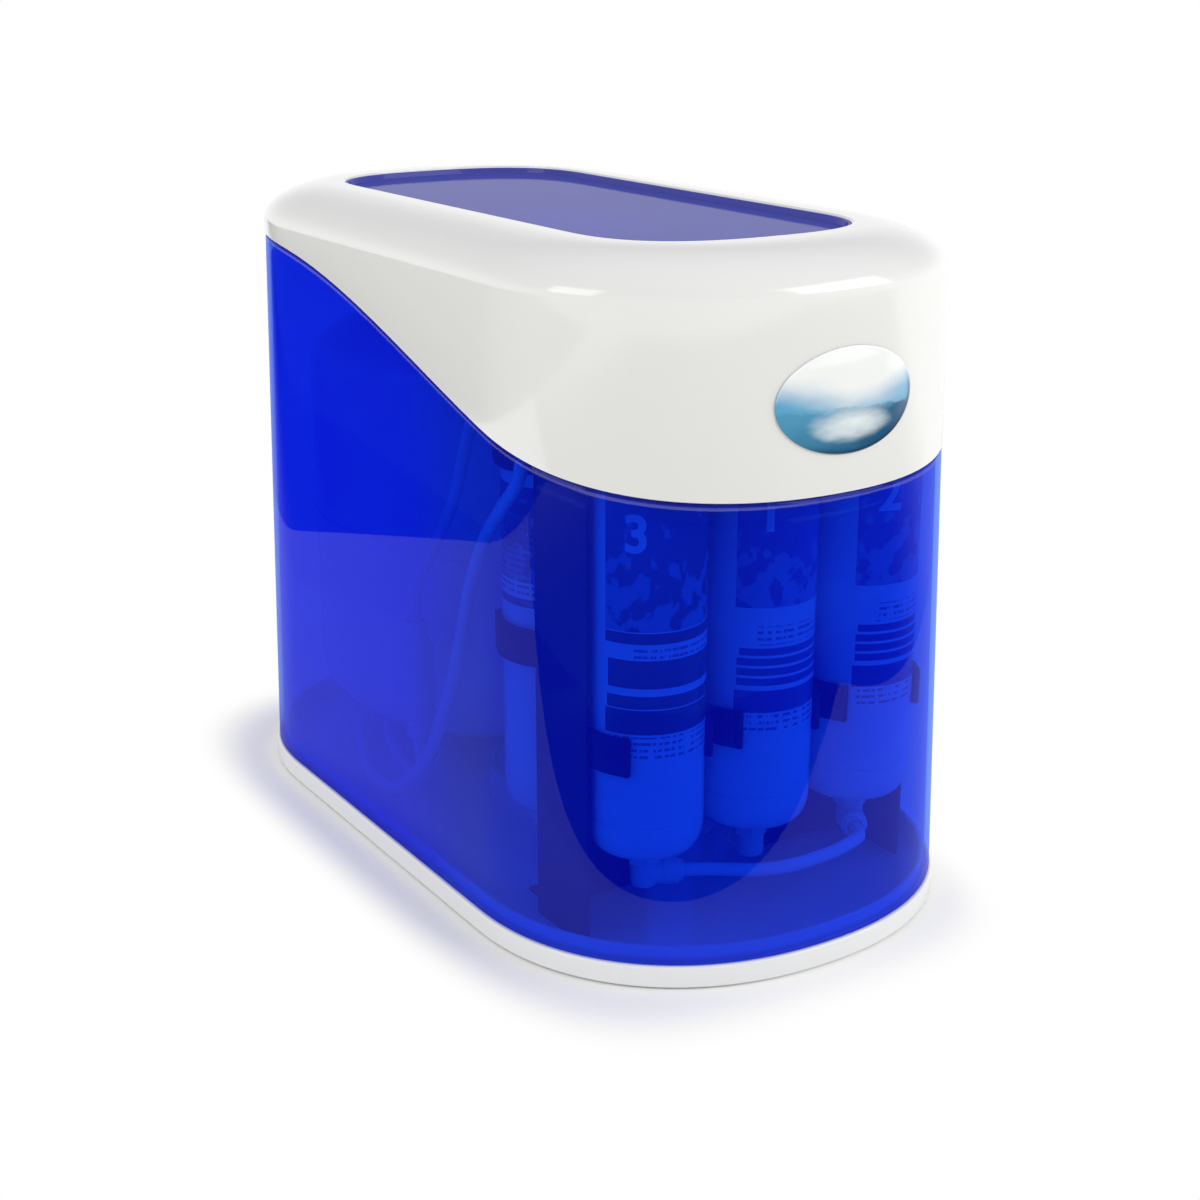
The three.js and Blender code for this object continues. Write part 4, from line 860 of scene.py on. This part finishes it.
def make_vessel():
    vessel = turned("membrane_vessel", [
        (0, 221), (24.2, 221), (24.2, 0), (26.7, 0), (27, 0.4), (27, 196), (27.8, 196.6), (27.8, 199.4),
        (27, 200), *[(27 - 7 * (1 - c), 228 + 7 * s) for s, c in quarter(6)], (0, 235),
    ], 72)
    for side in (-1, 1):
        boss = turned("boss", [(0, -5), (9, -5), (9, 3.2), (8.2, 4), (0, 4)], 36)
        welded(vessel, placed(boss, (side * 10, 0, 235)))
    done(placed(vessel, (MEMBRANE_X, POST_Y, 50)), "filter_white", "membrane_housing")

    cup = turned("membrane_screw_cap", [
        (0, -4), (8.2, -4), (9, -3.2), (9, 0), (27.4, 0), (28.6, 1.2), (28.6, 31.2), (27.9, 32), (27.3, 32),
        (27.3, 6), (0, 6),
    ], 72)
    ribs = [block("rib_0", (27.8, -1.1, 2), (30, 1.1, 30), 0.7)]
    ribs += [copied(ribs[0], f"rib_{turn}", turn=(0, 0, turn * 15)) for turn in range(1, 24)]
    bpy.ops.object.select_all(action="DESELECT")
    for rib in ribs:
        rib.select_set(True)
    bpy.context.view_layer.objects.active = ribs[0]
    bpy.ops.object.join()
    done(placed(welded(cup, ribs[0]), (MEMBRANE_X, POST_Y, 40)), "filter_white", "membrane_cap")


make_vessel()


# ---- fittings

BORE = 3.725  # radius of a socket for the tube
TOP_Z, LOW_Z, POST_TOP_Z, POST_LOW_Z = 300.3, 37.7, 292.3, 29.7  # heights of the elbows' sockets
VALVE_Y, VALVE_Z = -100.101, 250


def socket_leg(name, reach, radius=6.5):
    """A push fit socket that points along X, with a collar and the lip of its collet."""
    slim = radius - 0.4
    lip = radius - 1.2
    leg = turned(name, [
        (0, 0), (slim, 0), (slim, reach - 9.5), (radius, reach - 9), (radius, reach - 2.8),
        (radius - 0.5, reach - 2.2), (lip, reach - 2), (lip, reach - 0.4), (lip - 0.4, reach),
        (4, reach), (BORE, reach - 0.3), (BORE, reach - 10), (0, reach - 10),
    ], 36)
    return placed(leg, turn=(0, 90, 0))


def fitting(name, *headings):
    """A stub with a hexagon above and a socket for each heading."""
    stub = turned(name, [(0, -6.5), (4.6, -6.5), (5.9, -5.9), (6.5, -4.6), (6.5, 11), (0, 11)], 36)
    hexagon = turned("hexagon", [(0, 5), (7.3, 5), (8.1, 5.6), (8.1, 10.2), (7.3, 10.8), (0, 10.8)], 6)
    legs = [placed(socket_leg("leg", 18), turn=(0, 0, heading)) for heading in headings]
    return welded(stub, hexagon, *legs)


def make_fittings():
    elbow = fitting("elbow", 0)
    places = [  # name, node, place, whether its stub points down, heading of its socket
        ("filter_1_outlet", "elbow_1_top", (0, ROW_Y, TOP_Z), True, 0),
        ("filter_1_inlet", "elbow_1_bottom", (0, ROW_Y, LOW_Z), False, 90),
        ("filter_2_inlet", "elbow_2_top", (SPACING, ROW_Y, TOP_Z), True, 180),
        ("filter_2_outlet", "elbow_2_bottom", (SPACING, ROW_Y, LOW_Z), False, 240),
        ("filter_3_outlet", "elbow_3_top", (-SPACING, ROW_Y, TOP_Z), True, 90),
        ("filter_3_inlet", "elbow_3_bottom", (-SPACING, ROW_Y, LOW_Z), False, -28),
        ("post_outlet", "post_elbow", (POST_X, POST_Y, POST_TOP_Z), True, 233),
        ("membrane_feed", "membrane_feed_elbow", (MEMBRANE_X, POST_Y, 24.7), False, 180),
        ("membrane_check_valve", "check_valve_elbow", (MEMBRANE_X - 10, POST_Y, TOP_Z), True, 210),
        ("membrane_drain", "drain_elbow", (MEMBRANE_X + 10, POST_Y, TOP_Z), True, 90),
    ]
    for name, node, place, down, heading in places:
        done(copied(elbow, name, place, (180 if down else 0, 0, heading)), "fitting_white", node)
    used_up(elbow)
    tee = placed(fitting("post_inlet_tee", 0, 90), (POST_X, POST_Y, POST_LOW_Z))
    done(tee, "fitting_white", "post_tee")


def make_ports():
    port = turned("port", [
        (0, -1), (BORE, -1), (BORE, -10.7), (4, -11), (6.1, -11), (6.5, -10.6), (6.5, -0.3), (8, -0.3),
        (8, 3.3), (9.5, 3.3), (9.5, 7.9), (9.1, 8.3), (7.2, 8.3), (7.2, 16.7), (6.6, 17.3), (5.2, 17.3),
        (5.2, 9.8), (BORE, 9.8), (BORE, 3), (0, 3),
    ])
    flats = [(8.7, 3.5), (10.5, 3.5), (10.8, 4), (10.8, 7.5), (10.5, 8), (8.7, 8), (8.7, 3.5)]
    welded(port, turned("flats", flats, 6))
    collet = turned("collet", [
        (3.4, 11.6), (4.7, 11.6), (4.7, 19.1), (5.9, 19.1), (6.2, 19.4), (6.2, 20.4), (5.9, 20.7),
        (3.7, 20.7), (3.4, 20.4), (3.4, 11.6),
    ])
    for use, x in PORT_XS.items():
        place = (x, PORT_WALL - 3, PORT_Z)
        done(copied(port, f"{use}_bulkhead", place, (-90, 0, 0)), "fitting_white", f"{use}_port")
        done(copied(collet, f"{use}_release_ring", place, (-90, 0, 0)), "lever_blue", f"{use}_collet",
             body=f"{use}_release")
    used_up(port, collet)


def make_shutoff():
    drum = turned("shutoff_drum", [
        (0, 0), (15.2, 0), (16, 0.8), (16, 8.2), (15.2, 8.8), (15.2, 10.2), (16, 10.8), (16, 18),
        (15.4, 19.2), (14, 20), (9.4, 20), (8.8, 19), (0, 19),
    ], 56)
    placed(drum, (0, WEB_BACK + GAP, VALVE_Z), (-90, 0, 0))
    for side in (-1, 1):
        for up in (-1, 1):
            welded(drum, placed(socket_leg("leg", 28, 5.5), (side * 8, VALVE_Y, VALVE_Z), (0, -90 * up, 0)))
    for count in range(6):
        angle = math.radians(60 * count)
        place = (12.2 * math.cos(angle), -90.2, VALVE_Z + 12.2 * math.sin(angle))
        welded(drum, placed(cross_head("screw", 1.7, 1.2), place, (-90, 0, 0)))
    done(drum, "fitting_white", "auto_shutoff_valve")


def make_restrictor():
    low, high = 54, 118
    lower = [(BORE, low + 10), (BORE, low + 0.3), (4, low), (5.6, low), (6, low + 0.4), (6, 64), (8, 65.5),
             (8.5, 66.5), (8.5, 72), (8.1, 72.4), (8.1, 73.6), (8.5, 74)]
    upper = [(radius, low + high - z) for radius, z in reversed(lower)]
    body = turned("drain_restrictor", [(0, low + 10), *lower, *upper, (0, high - 10)])
    done(placed(body, (-91.5, 10.027, 0)), "fitting_white", "flow_restrictor")


make_fittings()
make_ports()
make_shutoff()
make_restrictor()


# ---- tank, its valve and lever

TANK_WALL = 1.5
BALL_Z, BALL_RADIUS = 289.8, 11.3


def make_tank():
    def dome(centre, radius, height, steps=16):
        return [(radius * c, centre + height * s) for s, c in quarter(steps)]

    inner = TANK_RADIUS - TANK_WALL
    seam = [(98, 142.6), (98.7, 142.9), (99.2, 143.6), (99.2, 150.4), (98.7, 151.1), (98, 151.4)]
    neck = [(11, 266.4), (9.6, 267.4), (9, 268.6), (9, 277.4), (8.4, 278), (5.4, 278), (5, 277.6), (5, 265.5)]
    profile = [
        (0, DOME_Z - DOME_DEPTH), *dome(DOME_Z, TANK_RADIUS, -DOME_DEPTH)[-2::-1], *seam,
        *dome(232, TANK_RADIUS, 35)[:-1], *neck, *dome(232, inner, 33.5, 8)[-2::-1],
        *dome(DOME_Z, inner, TANK_WALL - DOME_DEPTH, 8)[:-1], (0, DOME_Z - DOME_DEPTH + TANK_WALL),
    ]
    tank = turned("water_tank", profile, 96)
    done(placed(tank, (0, TANK_Y, 0)), "tank_enamel", "storage_tank", smooth=30)


def make_valve():
    nut = turned("valve_on_tank", [
        (0, 278.3), (9.3, 278.3), (9.3, 267.3), (13.4, 267.3), (14, 267.9), (14, 280.7), (13.4, 281.3),
        (0, 281.3),
    ], 6)
    turns = [share * math.pi for share in shares(16)[1:-1]]
    skin = [(BALL_RADIUS * math.sin(turn), BALL_Z - BALL_RADIUS * math.cos(turn)) for turn in turns]
    ball = turned("ball", [(0, BALL_Z - BALL_RADIUS), *skin, (0, BALL_Z + BALL_RADIUS)])
    above = [(5.6, BALL_Z), (5.6, 302), (4.5, 303), (4.5, 306), (4.2, 306.3), (0, 306.3)]
    stem = turned("stem", [(0, BALL_Z), *above], 32)
    outlet = placed(socket_leg("outlet", 26), (0, 0, BALL_Z), (0, 0, -90))
    collar = turned("collar", [(0, 0), (8, 0), (8.4, 0.5), (8.4, 3.5), (8, 4), (0, 4)], 6)
    placed(collar, (0, -9.5, BALL_Z), (90, 0, 0))
    welded(nut, ball, stem, outlet, collar)
    done(placed(nut, (0, TANK_Y, 0)), "fitting_white", "tank_valve")

    def outline(inset, z):
        slope = math.asin(3 / 34)
        hub = [(9 - inset, slope + s * (math.pi - 2 * slope), 0) for s in shares(24)]
        tip = [(6 - inset, math.pi + slope + s * (math.pi - 2 * slope), -34) for s in shares(16)]
        return [(r * math.cos(a), y + r * math.sin(a), z) for r, a, y in hub + tip]

    lever = skinned("valve_lever", [outline(0.9, 306.6), outline(0.3, 306.85), outline(0, 307.5),
                                    outline(0, 309.8), outline(0.3, 310.35), outline(0.9, 310.6)])
    crown = turned("crown", [(0, 310), (4.2, 310), (4.2, 311.2), (3.8, 311.6), (0, 311.6)], 32)
    grip = block("grip", (-1.4, -34, 310), (1.4, -9, 311.3), 0.5)
    welded(lever, crown, grip)
    done(placed(lever, (0, TANK_Y, 0)), "lever_blue", "tank_valve_lever", body="valve_lever")


make_tank()
make_valve()


# ---- tubes

TUBE_RADIUS = 3.175
ROUTES = {
    "feed_tube": [
        (30, 187.2, 28), (30, 177.5, 28), (30, 167.5, 28), (46, 150, 22), (70, 118, 14), (80, 62, 12),
        (72, 4, 11), (50, -50, 11), (22, -88, 13), (5, -110.1, 26), (0, -127, 37.7), (0, -137, 37.7),
        (0, -146.7, 37.7)],
    "stage_1_to_2_tube": [
        (8.3, -155, 300.3), (18, -155, 300.3), (28, -155, 300.3), (33, -155, 300.3), (43, -155, 300.3),
        (52.7, -155, 300.3)],
    "stage_2_to_3_tube": [
        (56.9, -162.2, 37.7), (52, -170.6, 37.7), (47, -179.3, 37.7), (38, -183, 37.7), (26, -186, 37.7),
        (13, -187, 37.7), (-2, -186.5, 37.7), (-16, -182, 37.7), (-36.3, -168.1, 37.7),
        (-45.1, -163.5, 37.7), (-53.7, -158.9, 37.7)],
    "stage_3_to_valve_tube": [
        (-61, -146.7, 300.3), (-61, -137, 300.3), (-61, -127, 300.3), (-54, -114.1, 301),
        (-38, -103.1, 301), (-20, -100.1, 297), (-10, -100.1, 291), (-8, -100.1, 288), (-8, -100.1, 278),
        (-8, -100.1, 268.3)],
    "valve_to_membrane_tube": [
        (8, -100.1, 231.7), (8, -100.1, 222), (8, -100.1, 212), (8, -100.1, 169.9), (8, -100.1, 110.1),
        (10, -97.1, 66), (16, -86.8, 38), (26, -78.8, 27), (32, -78.8, 24.7), (42, -78.8, 24.7),
        (51.7, -78.8, 24.7)],
    "permeate_tube": [
        (42.8, -83, 300.3), (34.4, -87.8, 300.3), (25.8, -92.8, 300.3), (20, -95.1, 300.3),
        (11, -99.1, 293), (8, -100.1, 288), (8, -100.1, 278), (8, -100.1, 268.3)],
    "valve_to_tee_tube": [
        (-8, -100.1, 231.7), (-8, -100.1, 222), (-8, -100.1, 212), (-8, -100.1, 169.9),
        (-8, -100.1, 110.1), (-10, -97.1, 70), (-16, -86.8, 43), (-26, -78.8, 32), (-32, -78.8, 29.7),
        (-42, -78.8, 29.7), (-51.7, -78.8, 29.7)],
    "tank_tube": [
        (-60, -70.5, 29.7), (-60, -60.8, 29.7), (-60, -50.8, 29.7), (-58, -41.8, 34), (-52, -27.8, 60),
        (-46, -19.8, 110.1), (-42, -17.8, 169.9), (-36, -13.8, 224.9), (-26, 2, 267), (-8, 32, 286.8),
        (0, 56, 289.8), (0, 66, 289.8), (0, 75.7, 289.8)],
    "product_tube": [
        (-65, -85.4, 292.3), (-70.8, -93.2, 292.3), (-76.9, -101.2, 292.3), (-82, -108, 292.3),
        (-91, -115.1, 292.3), (-98.5, -119.1, 285), (-100.5, -119.1, 268), (-100, -117.1, 244.1),
        (-98.5, -109, 220.1), (-98, -92, 202), (-98, -76, 184.1), (-98, -60, 154.9), (-98, -48.1, 121.9),
        (-98, -31.1, 83.9), (-98.5, -10, 50), (-101.5, 14.1, 27), (-98.5, 48.1, 16), (-84, 94.9, 13),
        (-68, 132, 15), (-44, 156, 23), (-30, 167.5, 28), (-30, 177.5, 28), (-30, 187.2, 28)],
    "membrane_to_restrictor_tube": [
        (70, -70.5, 300.3), (70, -60.8, 300.3), (70, -50.8, 300.3), (67, -39.8, 302), (45, -23.8, 304),
        (0, -19.8, 304), (-42, -27.8, 292), (-70, -42, 262), (-86, -42, 227.9), (-90, -32.1, 192.9),
        (-91.5, -12, 161.9), (-92, 4, 142.1), (-91.5, 10, 128), (-91.5, 10, 118), (-91.5, 10, 108.3)],
    "drain_tube": [
        (-91.5, 10, 63.7), (-91.5, 10, 54), (-91.5, 10, 44), (-89.5, 12, 38), (-80.4, 30, 21),
        (-73, 58, 12), (-66, 92, 12), (-54, 124, 13), (-28, 148, 19), (-7, 160, 25), (0, 167.5, 28),
        (0, 177.5, 28), (0, 187.2, 28)],
}


def flowing(points, steps=10):
    """The smooth line that the part's tubes follow through their points."""
    points = [Vector(point) for point in points]
    points = [2 * points[0] - points[1], *points, 2 * points[-1] - points[-2]]
    line = []
    for a, b, c, d in zip(points, points[1:], points[2:], points[3:]):
        ta, tb = 0, (b - a).length ** 0.5
        tc = tb + (c - b).length ** 0.5
        td = tc + (d - c).length ** 0.5
        for step in range(steps):
            t = tb + (tc - tb) * step / steps
            ab = a * ((tb - t) / (tb - ta)) + b * ((t - ta) / (tb - ta))
            bc = b * ((tc - t) / (tc - tb)) + c * ((t - tb) / (tc - tb))
            cd = c * ((td - t) / (td - tc)) + d * ((t - tc) / (td - tc))
            abc = ab * ((tc - t) / (tc - ta)) + bc * ((t - ta) / (tc - ta))
            bcd = bc * ((td - t) / (td - tb)) + cd * ((t - tb) / (td - tb))
            line.append(abc * ((tc - t) / (tc - tb)) + bcd * ((t - tb) / (tc - tb)))
    return [*line, points[-2]]


def make_tube(node, points):
    line = flowing(points)
    curve = bpy.data.curves.new(node, "CURVE")
    curve.dimensions, curve.use_fill_caps = "3D", True
    curve.bevel_depth, curve.bevel_resolution = TUBE_RADIUS, 5
    spline = curve.splines.new("POLY")
    spline.points.add(len(line) - 1)
    for knot, place in zip(spline.points, line):
        knot.co = (*place, 1)
    only(added(node.replace("_tube", "_line"), curve))
    bpy.ops.object.convert(target="MESH")
    done(tidy_skin(bpy.context.object), "tube_white", node)


for tube_node, route in ROUTES.items():
    make_tube(tube_node, route)


# ---- camera, stage and lights

camera = added("camera", bpy.data.cameras.new("camera"))
camera.location = (-0.50873, -0.82266, 0.43828)
camera.rotation_euler = (math.radians(71.53), 0, math.radians(-32.40))
camera.data.lens = 57.63
camera.data.sensor_width = 36
bpy.context.scene.camera = camera


def studio_ground():
    """White ground that keeps the object's shadow near it and is plain white further away."""
    finish = Finish("studio_ground")
    x, y, _ = finish.place()
    glow = finish.node("Emission", {}, Color=rgb(1, 1, 1), Strength=1.0)
    seen = finish.seen("Camera", "Glossy", "Transmission")
    side = x + 0.014  # the shade is an oval 131 by 225 mm either way, a little to the left
    across, along = side * side / 0.131 ** 2, y * y / 0.225 ** 2
    away = across * across + along * along
    shade = 1 - away.fade(0.6, 1.8)
    far = 1 - shade * shade
    # painted tint: further out the cloth turns yellower to cancel the blue light that the shell casts there
    colour = finish.blend(away.fade(0.8, 1.4), rgb(0.93, 0.93, 0.925), rgb(0.95, 0.94, 0.86))
    cloth = finish.principled(Base_Color=colour, Roughness=0.9, Specular_IOR_Level=0.0)
    return finish.show(finish.node("MixShader", {}, seen * far, cloth, glow))


bpy.ops.mesh.primitive_plane_add(size=12, location=(0, 0, 0))
ground = bpy.context.object
ground.name = "studio_ground"
ground.data.materials.append(studio_ground())
ground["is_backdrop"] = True


# Across the camera's view, the paper ends so many metres in front of the object and to the right of it
FRONT_END, RIGHT_END = 0.295, 0.533
TOWARDS, RIGHT = Vector((-0.552, -0.834)), Vector((0.834, -0.552))


def dark_card(name, corners, way, start, full):
    """The unlit studio beyond the white paper. It shows only as a dark place in the gloss.

    Along a direction on the floor, it comes in softly between two distances.
    """
    bpy.ops.mesh.primitive_plane_add(size=1, location=(0, 0, 0))
    card = only(bpy.context.object)
    card.name = name
    for vert, (x, y) in zip(card.data.vertices, corners):
        vert.co = (x, y, 0.002)
    finish = Finish(name)
    x, y, _ = finish.place()
    solid = (x * way[0] + y * way[1]).fade(start, full)
    clear = finish.node("BsdfTransparent", {})
    dark = finish.principled(Base_Color=rgb(0.01, 0.01, 0.012), Roughness=0.9)
    card.data.materials.append(finish.show(finish.node("MixShader", {}, solid, clear, dark)))
    card.visible_camera = card.visible_diffuse = card.visible_shadow = card.visible_transmission = False
    card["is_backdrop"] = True


def on_floor(*spots):
    return [TOWARDS * towards + RIGHT * right for towards, right in spots]


dark_card("studio_dark_front", on_floor((FRONT_END, -2), (FRONT_END, 5), (3, -2), (3, 5)), RIGHT, -1.7, -0.5)
dark_card("studio_dark_right", on_floor((-0.4, RIGHT_END), (FRONT_END, RIGHT_END), (-0.4, 5), (FRONT_END, 5)),
          TOWARDS, -0.4, 0.1)
dark_card("studio_dark_back", [(0.2, 0.869), (-3.1, -0.707), (0.2, 8), (-8, 4)], (-1, 0), -0.1, 0.4)


def lamp(name, place, width, height, power):
    light = bpy.data.lights.new(name, "AREA")
    light.shape = "RECTANGLE"
    light.size, light.size_y, light.energy = width, height, power
    holder = added(name, light)
    holder.location = place
    holder.rotation_euler = (Vector((0, 0, 0.2)) - Vector(place)).to_track_quat("-Z", "Y").to_euler()
    return holder


lamp("key_light", (-1.75, -0.05, 1.15), 0.9, 0.8, 6)
lamp("fill_light", (1.15, -1.4, 1.15), 1.3, 0.9, 10.5)
lamp("side_light", (1.5, -0.25, 0.5), 0.8, 0.8, 2).visible_glossy = False


def studio_sky():
    """White all round. In the gloss it dims overhead, as a studio does above its lamps."""
    sky = Finish("studio", "worlds")
    *_, high = sky.place(0)
    level = sky.seen("Camera", "Glossy", "Transmission") * 0.25 + 0.75
    overhead = sky.seen("Glossy") * high.fade(0.05, 0.5) * 0.6
    return sky.show(sky.node("Background", {}, rgb(1, 1, 1), level * (1 - overhead)))


bpy.context.scene.world = studio_sky()

bpy.context.scene.view_settings.view_transform = "Standard"

scene_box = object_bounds()
[[list(corner) for corner in box] for box in (cad_box, scene_box)]
